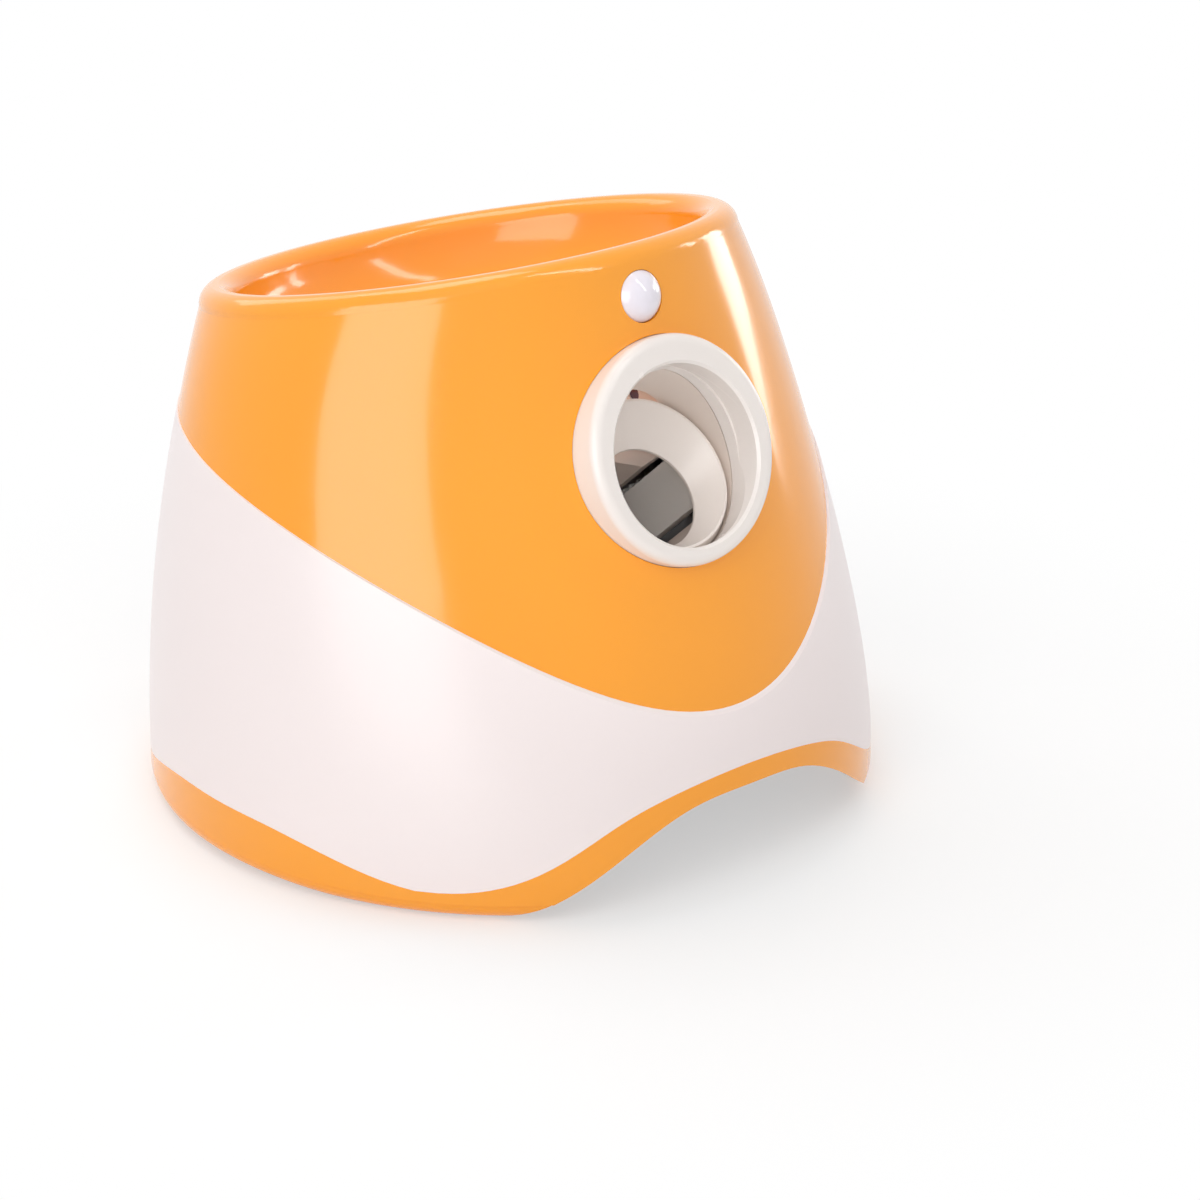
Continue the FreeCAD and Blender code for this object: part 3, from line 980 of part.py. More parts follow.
def make_rear_panel():
    """Panel in the rear window with the power button, its switch, the lights and the charging jack."""
    half_wide, half_tall, edge = "panel_half_wide", "panel_half_tall", "panel_edge"
    plate = block("panel_plate", "-%s - %s" % (half_wide, edge), "%s + %s" % (half_wide, edge),
                  "-panel_seat - panel_thick", "-panel_seat", "-%s - %s" % (half_tall, edge),
                  "%s + %s" % (half_tall, edge))
    face = block("panel_raised", "-%s + 0.3" % half_wide, "%s - 0.3" % half_wide,
                 "-panel_seat", "-panel_face", "-%s + 0.3" % half_tall, "%s - 0.3" % half_tall)
    holes = [rod("button_hole", "button_radius + 0.3", "30", "0", "-20", "button_rise", along="y"),
             rod("jack_way", "jack_radius + 0.05", "30", "jack_x", "-20", "-jack_drop", along="y")]
    holes += [rod("light_hole_%d" % i, "1.65", "30", "%d * 8 - 10" % i, "-20", "-jack_drop", along="y")
              for i in range(3)]
    holes += panel_screw_rods("panel_pass", "screw_radius + 0.1", "-panel_seat - 8", "12")
    node("rear_panel", in_panel(cut("rear_panel_cut", join("rear_panel_all", plate, face), *holes)))
    back = "-panel_seat - panel_thick"
    cap = rod("button_cap", "button_radius", "button_proud - panel_face + panel_seat + panel_thick + 0.2",
              "0", back + " - 0.2", "button_rise", along="y")
    flange = rod("button_flange", "button_radius + 1.5", "1", "0", back + " - 1.2", "button_rise", along="y")
    node("power_button", in_panel(join("power_button_all", cap, flange)))
    touch = back + " - 1.2 - button_travel - 0.2"
    switch = join("switch_all", block("switch_body", "-3", "3", touch + " - 4.5", touch + " - 1",
                                      "button_rise - 3", "button_rise + 3"),
                  rod("switch_stem", "1.7", "1.2", "0", touch + " - 1.2", "button_rise", along="y"))
    node("button_switch", in_panel(switch))
    board = block("panel_card", "-24", "24", touch + " - 6.1", touch + " - 4.5", "-17", "17")
    stems = [rod("panel_stem_%d" % i, "1.8", "(%s) - (%s - 4.5)" % (back, touch), "%d * 22" % sx,
                 touch + " - 4.5", "%d * 15" % sz, along="y") for i, (sx, sz) in enumerate(SIDES)]
    jack_way = rod("panel_card_hole", "jack_radius + 0.3", "10", "jack_x", touch + " - 8", "-jack_drop", along="y")
    node("panel_board", in_panel(cut("panel_board_cut", join("panel_board_all", board, *stems), jack_way)))
    lights = [rod("light_%d" % i, "1.6", "panel_thick + panel_seat - panel_face + 1.4", "%d * 8 - 10" % i,
                  back + " - 1", "-jack_drop", along="y") for i in range(3)]
    node("indicator_lenses", in_panel(group("indicator_set", *lights)))
    jack = cut("jack_cut", join("jack_all", rod("jack_body", "jack_radius", "13", "jack_x", "-panel_face - 12.5",
                                                "-jack_drop", along="y"),
                                rod("jack_rim", "jack_radius + 1", "0.8", "jack_x", "-panel_face",
                                    "-jack_drop", along="y")),
               rod("jack_bore", "jack_hole", "20", "jack_x", "-panel_face - 9.5", "-jack_drop", along="y"))
    node("dc_jack", in_panel(jack))
    node("dc_jack_pin", in_panel(rod("jack_centre", "jack_pin", "8", "jack_x", "-panel_face - 9.5",
                                     "-jack_drop", along="y")))
    screws = []
    heads = panel_screw_rods("panel_head", "screw_head", back + " - screw_head_height", "screw_head_height")
    shanks = panel_screw_rods("panel_shank", "screw_radius - 0.05", back, "panel_thick + 3.5")
    for i, (head, shank) in enumerate(zip(heads, shanks)):
        screws.append(join("panel_screw_%d" % i, head, shank))
    node("panel_screws", in_panel(group("panel_screw_set", *screws)))


def make_sensor():
    """Milky dome above the muzzle with the motion sensor behind it."""
    ball = doc.addObject("Part::Sphere", "lens_ball")
    bind(ball, Radius="(lens_radius ^ 2 + lens_rise ^ 2) / (2 * lens_rise)")
    put(ball, "0", "0", "lens_rise - (lens_radius ^ 2 + lens_rise ^ 2) / (2 * lens_rise)")
    dome = common("lens_dome", ball, rod("lens_cut", "lens_radius", "20", z="0"))
    stem = rod("lens_stem", "lens_radius", "5", z="-5")
    flange = rod("lens_rim", "lens_flange", "1.2", z="-5")
    hollow = rod("lens_hollow", "lens_radius - lens_skin", "5", z="-5")
    node("sensor_lens", in_lens(cut("sensor_lens_cut", join("sensor_lens_all", dome, stem, flange), hollow)))
    node("sensor_element", in_lens(rod("sensor_can", "4.2", "3", z="-8")))
    disc = rod("sensor_disc", "lens_seat", "1.2", z="-9.2")
    flat = block("sensor_flat", "-lens_seat", "lens_seat", "lens_seat - sensor_flat", "lens_seat", "-10", "-7")
    node("sensor_board", in_lens(cut("sensor_board_cut", disc, flat)))
    for name, sign in (("ball_emitter", 1), ("ball_receiver", -1)):
        inner_end, outer_end = "throat_radius + lamp_step", "throat_radius + barrel_wall + shell_gap"
        start = inner_end if sign > 0 else "-%s - lamp_length" % inner_end.replace("+", "-")
        lamp = rod(name + "_lamp", "lamp_radius", "lamp_length", start, "throat_place", "throat_top - lamp_drop",
                   along="x")
        start = outer_end if sign > 0 else "-%s - collar_thick" % outer_end.replace("+", "-")
        collar = rod(name + "_collar", "lamp_radius + collar_step", "collar_thick", start, "throat_place",
                     "throat_top - lamp_drop", along="x")
        node(name, in_barrel(join(name + "_all", lamp, collar)))


def make_control():
    """Control board on stand-offs left of the barrel."""
    low = "deck_top + standoff"
    top = low + " + board_thick"
    card = block("control_card", "board_x - board_wide / 2", "board_x + board_wide / 2",
                 "board_y - board_long / 2", "board_y + board_long / 2", low, top)
    holes = [rod("card_hole_%d" % i, "1.2", "10", *board_corner(sx, sy), z="deck_top")
             for i, (sx, sy) in enumerate(SIDES)]
    node("control_board", cut("control_board_cut", card, *holes))
    node("control_chip", block("chip_block", "board_x - 5", "board_x + 5", "board_y - 5", "board_y + 5",
                               top, top + " + 1.6"))
    node("power_capacitor", rod("capacitor_can", "5", "14", "board_x + 12", "board_y - 21", top))
    node("buzzer", rod("buzzer_can", "6", "7.5", "board_x - 12", "board_y + 14", top))
    node("motor_driver", block("driver_block", "board_x - 16", "board_x - 8", "board_y - 20", "board_y - 10",
                               top, top + " + 2"))
    sockets = [block("socket_%d" % i, "board_x + 15", "board_x + 22", "board_y + %d" % (-14 + 9 * i),
                     "board_y + %d" % (-7 + 9 * i), top, top + " + 6") for i in range(4)]
    node("board_sockets", group("board_socket_set", *sockets))
    screws = []
    for i, (sx, sy) in enumerate(SIDES):
        x, y = board_corner(sx, sy)
        head = rod("board_head_%d" % i, "1.9", "1.4", x, y, top)
        shank = rod("board_shank_%d" % i, "0.95", "5", x, y, top + " - 5")
        screws.append(join("board_screw_%d" % i, head, shank))
    node("board_screws", group("board_screw_set", *screws))


def make_battery_contacts():
    """Flat plates and cone springs for three rows of cells in the bay."""
    half = size("bay_half")
    rows = [size("bay_front") + (k + 0.5) * (size("bay_back") - size("bay_front")) / 3 for k in range(3)]
    middle = (size("door_low") + size("door_thick") + size("deck_low")) / 2
    plates, coils = [], []
    for y in rows:
        for side in (-1, 1):
            plates.append(Part.makeBox(0.5, 14, 14, V(side * (half - 0.25) - 0.25, y - 7, middle - 7)))
        shape = coil("battery spring", V(0, 0, 0), 0, 5.5, 3.2, 7.5, 3.5, 0.45)
        shape.Placement = FreeCAD.Placement(V(half - 0.5 - 0.5, y, middle), FreeCAD.Rotation(V(0, 0, 1), 90))
        coils.append(shape)
    node("battery_plates", feature("battery_plate_set", Part.Compound(plates)))
    node("battery_springs", feature("battery_spring_set", Part.Compound(coils)))


def check_and_write():
    bad = [obj.Name for obj in doc.Objects if "Invalid" in obj.State or "Error" in obj.State]
    for name, obj in nodes.items():
        if obj.Shape.isNull() or not obj.Shape.isValid() or not obj.Shape.Solids:
            bad.append(name)
    if bad:
        raise RuntimeError("failed objects: " + ", ".join(bad))
    os.makedirs("parts", exist_ok=True)
    for name, obj in nodes.items():
        obj.Shape.exportStep(os.path.join("parts", name + ".step"))
    print("%d nodes written" % len(nodes))


def build():
    inner = casing_solid("casing_inner", "casing_wall")
    outer = casing_solid("casing_outer", "0")
    make_top_shell(inner)
    make_body_shell(inner, outer)
    make_base_trim(inner, outer)
    make_feet()
    make_deck()
    make_door()
    make_casing_screws()
    make_barrel()
    make_rear_frame()
    make_muzzle_ring()
    make_cup()
    make_rack()
    make_spring()
    make_gears()
    make_gearbox()
    make_gearbox_screws()
    make_motor()
    make_rear_panel()
    make_sensor()
    make_control()
    make_battery_contacts()
    doc.recompute()
    check_and_write()


build()
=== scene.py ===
# Ball launcher for dogs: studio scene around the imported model.
import math
import bmesh
import bpy
from mathutils import Matrix, Vector


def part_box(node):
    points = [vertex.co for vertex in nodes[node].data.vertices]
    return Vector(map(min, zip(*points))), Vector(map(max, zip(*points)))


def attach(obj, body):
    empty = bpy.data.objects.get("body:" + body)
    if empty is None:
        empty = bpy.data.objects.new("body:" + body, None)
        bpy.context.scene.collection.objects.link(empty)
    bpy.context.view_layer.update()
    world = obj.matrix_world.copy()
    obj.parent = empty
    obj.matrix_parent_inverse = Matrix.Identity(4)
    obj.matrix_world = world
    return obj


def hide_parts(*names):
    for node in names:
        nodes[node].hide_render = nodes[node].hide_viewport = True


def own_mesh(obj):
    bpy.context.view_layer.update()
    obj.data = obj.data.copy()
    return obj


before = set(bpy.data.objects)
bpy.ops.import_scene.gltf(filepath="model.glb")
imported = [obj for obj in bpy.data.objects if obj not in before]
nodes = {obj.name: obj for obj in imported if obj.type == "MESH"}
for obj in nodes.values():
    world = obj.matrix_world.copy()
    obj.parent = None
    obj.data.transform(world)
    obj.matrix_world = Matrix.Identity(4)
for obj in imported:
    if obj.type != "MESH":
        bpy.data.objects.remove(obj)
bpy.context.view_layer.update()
print("frame loaded:", len(nodes), "nodes")


# Small helpers

def deselectAll():
    if bpy.context.object and bpy.context.object.mode != "OBJECT":
        bpy.ops.object.mode_set(mode="OBJECT")
    bpy.ops.object.select_all(action="DESELECT")


def makeActive(obj):
    deselectAll()
    obj.select_set(True)
    bpy.context.view_layer.objects.active = obj


# Shader groups shared by several materials

def newGroup(name, inputs, outputs):
    group = bpy.data.node_groups.new(name, "ShaderNodeTree")
    for label, kind, value in inputs:
        socket = group.interface.new_socket(name=label, in_out="INPUT", socket_type=kind)
        socket.default_value = value
    for label, kind in outputs:
        group.interface.new_socket(name=label, in_out="OUTPUT", socket_type=kind)
    return group, group.nodes.new("NodeGroupInput"), group.nodes.new("NodeGroupOutput")


def link(tree, source, target):
    tree.links.new(source, target)


def makeMouldGroup():
    # Faint flow marks, fine grain and dust of a moulded surface.
    group, start, end = newGroup("mouldedSurface", [
        ("Color", "NodeSocketColor", (0.8, 0.8, 0.8, 1)), ("Drift", "NodeSocketFloat", 0.04),
        ("Roughness", "NodeSocketFloat", 0.2), ("Smear", "NodeSocketFloat", 0.05),
        ("Grain", "NodeSocketFloat", 900.0)],
        [("Color", "NodeSocketColor"), ("Roughness", "NodeSocketFloat"), ("Height", "NodeSocketFloat")])
    coords = group.nodes.new("ShaderNodeTexCoord")
    clouds = group.nodes.new("ShaderNodeTexNoise")
    clouds.inputs["Scale"].default_value = 14
    clouds.inputs["Detail"].default_value = 4
    fine = group.nodes.new("ShaderNodeTexNoise")
    fine.inputs["Detail"].default_value = 2
    smear = group.nodes.new("ShaderNodeTexNoise")
    smear.inputs["Scale"].default_value = 55
    smear.inputs["Detail"].default_value = 6
    for noise in (clouds, fine, smear):
        link(group, coords.outputs["Object"], noise.inputs["Vector"])
    link(group, start.outputs["Grain"], fine.inputs["Scale"])
    centred = group.nodes.new("ShaderNodeMath")
    centred.operation = "SUBTRACT"
    centred.inputs[1].default_value = 0.5
    link(group, clouds.outputs["Fac"], centred.inputs[0])
    swing = group.nodes.new("ShaderNodeMath")
    swing.operation = "MULTIPLY_ADD"
    swing.inputs[2].default_value = 1
    link(group, centred.outputs[0], swing.inputs[0])
    link(group, start.outputs["Drift"], swing.inputs[1])
    tint = group.nodes.new("ShaderNodeVectorMath")
    tint.operation = "SCALE"
    link(group, start.outputs["Color"], tint.inputs[0])
    link(group, swing.outputs[0], tint.inputs["Scale"])
    link(group, tint.outputs[0], end.inputs["Color"])
    rough = group.nodes.new("ShaderNodeMath")
    rough.operation = "MULTIPLY_ADD"
    link(group, smear.outputs["Fac"], rough.inputs[0])
    link(group, start.outputs["Smear"], rough.inputs[1])
    link(group, start.outputs["Roughness"], rough.inputs[2])
    link(group, rough.outputs[0], end.inputs["Roughness"])
    link(group, fine.outputs["Fac"], end.inputs["Height"])
    return group


mouldGroup = makeMouldGroup()


def plastic(name, look):
    material = bpy.data.materials.new(name)
    material.use_nodes = True
    tree = material.node_tree
    shader = tree.nodes["Principled BSDF"]
    skin = tree.nodes.new("ShaderNodeGroup")
    skin.node_tree = mouldGroup
    skin.inputs["Color"].default_value = (*look["color"], 1)
    for label in ("Drift", "Roughness", "Smear", "Grain"):
        if label.lower() in look:
            skin.inputs[label].default_value = look[label.lower()]
    link(tree, skin.outputs["Color"], shader.inputs["Base Color"])
    link(tree, skin.outputs["Roughness"], shader.inputs["Roughness"])
    bump = tree.nodes.new("ShaderNodeBump")
    bump.inputs["Strength"].default_value = look.get("bump", 0.02)
    bump.inputs["Distance"].default_value = 0.0004
    link(tree, skin.outputs["Height"], bump.inputs["Height"])
    link(tree, bump.outputs["Normal"], shader.inputs["Normal"])
    shader.inputs["IOR"].default_value = look.get("ior", 1.5)
    shader.inputs["Coat Weight"].default_value = look.get("coat", 0)
    shader.inputs["Coat Roughness"].default_value = 0.05
    shader.inputs["Metallic"].default_value = look.get("metal", 0)
    shader.inputs["Subsurface Weight"].default_value = look.get("glow", 0)
    shader.inputs["Subsurface Radius"].default_value = look.get("glowRadius", (0.006, 0.003, 0.0015))
    return material


def linearGroup(name, inputs, outputs, build):
    group, start, end = newGroup(name, inputs, outputs)
    build(group, start, end)
    return group


def buildBrush(group, start, end):
    # Fine lines drawn along one way, and blotches left by handling.
    coords = group.nodes.new("ShaderNodeTexCoord")
    stretch = group.nodes.new("ShaderNodeMapping")
    stretch.inputs["Scale"].default_value = (1, 30, 30)
    lines = group.nodes.new("ShaderNodeTexNoise")
    lines.inputs["Scale"].default_value = 160
    lines.inputs["Detail"].default_value = 3
    blotch = group.nodes.new("ShaderNodeTexNoise")
    blotch.inputs["Scale"].default_value = 70
    link(group, coords.outputs["Object"], stretch.inputs["Vector"])
    link(group, stretch.outputs["Vector"], lines.inputs["Vector"])
    link(group, coords.outputs["Object"], blotch.inputs["Vector"])
    shade = group.nodes.new("ShaderNodeMath")
    shade.operation = "MULTIPLY_ADD"
    shade.inputs[1].default_value = 0.3
    shade.inputs[2].default_value = 0.85
    link(group, blotch.outputs["Fac"], shade.inputs[0])
    tint = group.nodes.new("ShaderNodeVectorMath")
    tint.operation = "SCALE"
    link(group, start.outputs["Color"], tint.inputs[0])
    link(group, shade.outputs[0], tint.inputs["Scale"])
    link(group, tint.outputs[0], end.inputs["Color"])
    rough = group.nodes.new("ShaderNodeMath")
    rough.operation = "MULTIPLY_ADD"
    rough.inputs[1].default_value = 0.2
    link(group, lines.outputs["Fac"], rough.inputs[0])
    link(group, start.outputs["Roughness"], rough.inputs[2])
    link(group, rough.outputs[0], end.inputs["Roughness"])
    link(group, lines.outputs["Fac"], end.inputs["Height"])


brushGroup = linearGroup("brushedMetal", [("Color", "NodeSocketColor", (0.6, 0.6, 0.6, 1)),
                                          ("Roughness", "NodeSocketFloat", 0.25)],
                         [("Color", "NodeSocketColor"), ("Roughness", "NodeSocketFloat"),
                          ("Height", "NodeSocketFloat")], buildBrush)


def brushedMetal(name, look):
    material = bpy.data.materials.new(name)
    material.use_nodes = True
    tree = material.node_tree
    shader = tree.nodes["Principled BSDF"]
    skin = tree.nodes.new("ShaderNodeGroup")
    skin.node_tree = brushGroup
    skin.inputs["Color"].default_value = (*look["color"], 1)
    skin.inputs["Roughness"].default_value = look["roughness"]
    link(tree, skin.outputs["Color"], shader.inputs["Base Color"])
    link(tree, skin.outputs["Roughness"], shader.inputs["Roughness"])
    bump = tree.nodes.new("ShaderNodeBump")
    bump.inputs["Strength"].default_value = 0.15
    bump.inputs["Distance"].default_value = 0.0002
    link(tree, skin.outputs["Height"], bump.inputs["Height"])
    link(tree, bump.outputs["Normal"], shader.inputs["Normal"])
    shader.inputs["Metallic"].default_value = 1
    return material


def solderBoard(name):
    # Green mask over faint copper tracks, with tinned holes.
    material = bpy.data.materials.new(name)
    material.use_nodes = True
    tree = material.node_tree
    shader = tree.nodes["Principled BSDF"]
    coords = tree.nodes.new("ShaderNodeTexCoord")
    tracks = tree.nodes.new("ShaderNodeTexBrick")
    tracks.inputs["Scale"].default_value = 160
    tracks.inputs["Mortar Size"].default_value = 0.06
    tracks.inputs["Color1"].default_value = (0.008, 0.075, 0.03, 1)
    tracks.inputs["Color2"].default_value = (0.01, 0.09, 0.036, 1)
    tracks.inputs["Mortar"].default_value = (0.03, 0.19, 0.07, 1)
    holes = tree.nodes.new("ShaderNodeTexVoronoi")
    holes.inputs["Scale"].default_value = 240
    ring = tree.nodes.new("ShaderNodeMath")
    ring.operation = "LESS_THAN"
    ring.inputs[1].default_value = 0.12
    tin = tree.nodes.new("ShaderNodeMix")
    tin.data_type = "RGBA"
    tin.inputs["B"].default_value = (0.62, 0.6, 0.55, 1)
    link(tree, coords.outputs["Object"], tracks.inputs["Vector"])
    link(tree, coords.outputs["Object"], holes.inputs["Vector"])
    link(tree, holes.outputs["Distance"], ring.inputs[0])
    link(tree, ring.outputs[0], tin.inputs["Factor"])
    link(tree, tracks.outputs["Color"], tin.inputs["A"])
    link(tree, tin.outputs["Result"], shader.inputs["Base Color"])
    shader.inputs["Roughness"].default_value = 0.28
    return material


def facetedLens(name):
    # Milky moulded lens with small facets pressed into it.
    material = bpy.data.materials.new(name)
    material.use_nodes = True
    tree = material.node_tree
    shader = tree.nodes["Principled BSDF"]
    skin = tree.nodes.new("ShaderNodeGroup")
    skin.node_tree = mouldGroup
    skin.inputs["Color"].default_value = (0.83, 0.79, 0.86, 1)
    skin.inputs["Roughness"].default_value = 0.1
    link(tree, skin.outputs["Color"], shader.inputs["Base Color"])
    link(tree, skin.outputs["Roughness"], shader.inputs["Roughness"])
    coords = tree.nodes.new("ShaderNodeTexCoord")
    facets = tree.nodes.new("ShaderNodeTexVoronoi")
    facets.feature = "DISTANCE_TO_EDGE"
    facets.inputs["Scale"].default_value = 330
    facets.inputs["Randomness"].default_value = 0.25
    bump = tree.nodes.new("ShaderNodeBump")
    bump.inputs["Strength"].default_value = 0.12
    bump.inputs["Distance"].default_value = 0.0005
    link(tree, coords.outputs["Object"], facets.inputs["Vector"])
    link(tree, facets.outputs["Distance"], bump.inputs["Height"])
    link(tree, bump.outputs["Normal"], shader.inputs["Normal"])
    shader.inputs["Subsurface Weight"].default_value = 0.3
    shader.inputs["Subsurface Radius"].default_value = (0.004, 0.004, 0.004)
    shader.inputs["Coat Weight"].default_value = 0.5
    return material


looks = {
    "orangeShell": {"color": (0.98, 0.36, 0.014), "roughness": 0.12, "smear": 0.06, "coat": 0.25, "drift": 0.05},
    "whiteShell": {"color": (0.90, 0.81, 0.80), "roughness": 0.3, "smear": 0.06, "drift": 0.02},
    "creamRing": {"color": (0.86, 0.80, 0.76), "roughness": 0.22, "smear": 0.08, "drift": 0.03},
    "creamCup": {"color": (0.86, 0.79, 0.74), "roughness": 0.26, "smear": 0.1, "drift": 0.04},
    "nylon": {"color": (0.92, 0.90, 0.86), "roughness": 0.3, "smear": 0.1},
    "creamBarrel": {"color": (0.80, 0.70, 0.63), "roughness": 0.34, "smear": 0.12},
    "greyChassis": {"color": (0.42, 0.43, 0.45), "roughness": 0.45, "smear": 0.1, "bump": 0.15},
    "rubber": {"color": (0.02, 0.02, 0.022), "roughness": 0.7, "smear": 0.1, "bump": 0.4, "grain": 1500},
    "panel": {"color": (0.028, 0.028, 0.032), "roughness": 0.38, "smear": 0.1, "bump": 0.25, "grain": 1800},
    "sleeve": {"color": (0.02, 0.03, 0.09), "roughness": 0.3, "smear": 0.05},
    "lamp": {"color": (0.06, 0.03, 0.07), "roughness": 0.08, "coat": 0.5},
}
metals = {
    "steel": {"color": (0.56, 0.56, 0.58), "roughness": 0.26},
    "spring": {"color": (0.42, 0.42, 0.44), "roughness": 0.2},
    "brass": {"color": (0.72, 0.49, 0.19), "roughness": 0.24},
}
materials = {name: plastic(name, look) for name, look in looks.items()}
materials.update({name: brushedMetal(name, look) for name, look in metals.items()})
materials["board"] = solderBoard("board")
materials["milkyLens"] = facetedLens("milkyLens")

nodeLooks = {
    "orangeShell": ["top_shell", "base_trim", "power_button"],
    "whiteShell": ["body_shell"],
    "creamRing": ["muzzle_ring"],
    "creamCup": ["plunger_cup"],
    "nylon": ["plunger_rack", "sector_gear", "final_gear", "second_gear", "first_gear", "board_sockets"],
    "creamBarrel": ["launch_barrel", "rear_frame"],
    "greyChassis": ["base_deck", "battery_door", "gearbox_base", "gearbox_cover"],
    "rubber": ["rubber_feet", "plunger_bumper"],
    "panel": ["rear_panel", "motor_end_cap", "dc_jack", "buzzer", "button_switch", "control_chip", "motor_driver"],
    "milkyLens": ["sensor_lens", "indicator_lenses"],
    "board": ["control_board", "sensor_board", "panel_board"],
    "brass": ["shaft_bushes", "motor_pinion", "dc_jack_pin"],
    "lamp": ["ball_emitter", "ball_receiver"],
    "sleeve": ["power_capacitor"],
}
finish = {node: look for look, names in nodeLooks.items() for node in names}
for name, obj in nodes.items():
    obj.data.materials.clear()
    obj.data.materials.append(materials[finish.get(name, "steel")])
print("materials placed")


# New pieces

def measureScrews(node, ways):
    # Each screw, bush or pad of a node: its axis, ends and radii, read from its own mesh.
    mesh = bmesh.new()
    mesh.from_mesh(nodes[node].data)
    bmesh.ops.remove_doubles(mesh, verts=mesh.verts, dist=1e-6)
    waiting, found = set(mesh.faces), []
    while waiting:
        island, stack = set(), [waiting.pop()]
        while stack:
            face = stack.pop()
            island.add(face)
            for edge in face.edges:
                for other in edge.link_faces:
                    if other in waiting:
                        waiting.discard(other)
                        stack.append(other)
        flat = [sum(f.calc_area() for f in island if abs(f.normal.dot(way)) > 0.999) for way in ways]
        way = ways[flat.index(max(flat))].copy()
        across = way.orthogonal().normalized()
        third = way.cross(across)
        spots = [v.co for v in {v for f in island for v in f.verts}]
        spans = [(min(p.dot(d) for p in spots), max(p.dot(d) for p in spots)) for d in (across, third, way)]
        centre = across * sum(spans[0]) / 2 + third * sum(spans[1]) / 2
        wide = [(p.dot(way), (p - centre - way * p.dot(way)).length) for p in spots]
        radius = max(r for t, r in wide)
        headSpots = [t for t, r in wide if r > 0.9 * radius]
        low, high = spans[2]
        if high - max(headSpots) > min(headSpots) - low:
            way, low, high, wide = -way, -high, -low, [(-t, r) for t, r in wide]
            headSpots = [-t for t in headSpots]
        seat = min(headSpots)
        shank = [r for t, r in wide if t < seat - 1e-5]
        found.append({"way": way, "centre": centre, "top": high, "seat": seat, "tip": low,
                      "head": radius, "shank": max(shank) if shank else radius})
    mesh.free()
    return found


def finishPiece(obj, name, look, body, replaced):
    obj.name = name
    obj.data.materials.clear()
    obj.data.materials.append(materials[look])
    makeActive(obj)
    bpy.ops.object.transform_apply(location=True, rotation=True, scale=True)
    bpy.ops.object.shade_smooth_by_angle(angle=math.radians(35))
    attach(obj, body)
    for node in replaced:
        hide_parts(node)


def selectFaces(obj, test):
    # Leaves edit mode with only the faces chosen whose centre and normal pass the test.
    bpy.ops.object.mode_set(mode="EDIT")
    bpy.ops.mesh.select_all(action="DESELECT")
    bpy.ops.mesh.select_mode(type="FACE")
    bpy.ops.object.mode_set(mode="OBJECT")
    for face in obj.data.polygons:
        face.select = test(face.center, face.normal)
    bpy.ops.object.mode_set(mode="EDIT")


def placeCopy(template, way, point):
    copy = template.copy()
    copy.data = template.data.copy()
    bpy.context.scene.collection.objects.link(copy)
    copy.matrix_world = Matrix.Translation(point) @ way.to_track_quat("Z", "Y").to_matrix().to_4x4()
    return copy


def joinPieces(pieces):
    makeActive(pieces[0])
    for piece in pieces:
        piece.select_set(True)
    bpy.ops.object.join()
    return bpy.context.object


crossScrew = {"sides": 24, "dome": 0.45, "recessWide": 0.26, "recessLong": 1.15, "recessDeep": 0.55,
              "threads": 6, "threadDepth": 0.1}


def makeScrew(head, seat, tip, shank):
    # Pan head with a cross recess over a ringed shank; the top of the head is at zero.
    deselectAll()
    bpy.ops.mesh.primitive_cylinder_add(vertices=crossScrew["sides"], radius=head, depth=seat,
                                        location=(0, 0, -seat / 2))
    screw = bpy.context.object
    makeActive(screw)
    bpy.ops.object.transform_apply(location=True, rotation=True, scale=True)
    selectFaces(screw, lambda c, n: n.z > 0.9)
    bpy.ops.mesh.bevel(offset=seat * crossScrew["dome"], segments=3, affect="EDGES")
    selectFaces(screw, lambda c, n: n.z < -0.9)
    bpy.ops.mesh.inset(thickness=head - shank)
    step = (tip - seat) / (crossScrew["threads"] + 1)
    for turn in range(crossScrew["threads"]):
        bpy.ops.mesh.extrude_region_move(TRANSFORM_OT_translate={"value": (0, 0, -step / 2)})
        bpy.ops.transform.resize(value=(1 - crossScrew["threadDepth"],) * 2 + (1,))
        bpy.ops.mesh.extrude_region_move(TRANSFORM_OT_translate={"value": (0, 0, -step / 2)})
        bpy.ops.transform.resize(value=(1 / (1 - crossScrew["threadDepth"]),) * 2 + (1,))
    bpy.ops.mesh.extrude_region_move(TRANSFORM_OT_translate={"value": (0, 0, -step)})
    bpy.ops.transform.resize(value=(0.5, 0.5, 1))
    bpy.ops.object.mode_set(mode="OBJECT")
    for turn in (0, 90):
        deselectAll()
        bpy.ops.mesh.primitive_cube_add(size=1, location=(0, 0, 0), rotation=(0, 0, math.radians(turn)))
        cutter = bpy.context.object
        cutter.scale = (head * crossScrew["recessLong"], head * crossScrew["recessWide"],
                        2 * seat * crossScrew["recessDeep"])
        makeActive(cutter)
        bpy.ops.object.transform_apply(location=True, rotation=True, scale=True)
        makeActive(screw)
        recess = screw.modifiers.new("recess", "BOOLEAN")
        recess.object = cutter
        recess.operation = "DIFFERENCE"
        recess.solver = "EXACT"
        bpy.ops.object.modifier_apply(modifier="recess")
        bpy.data.objects.remove(cutter)
    return screw


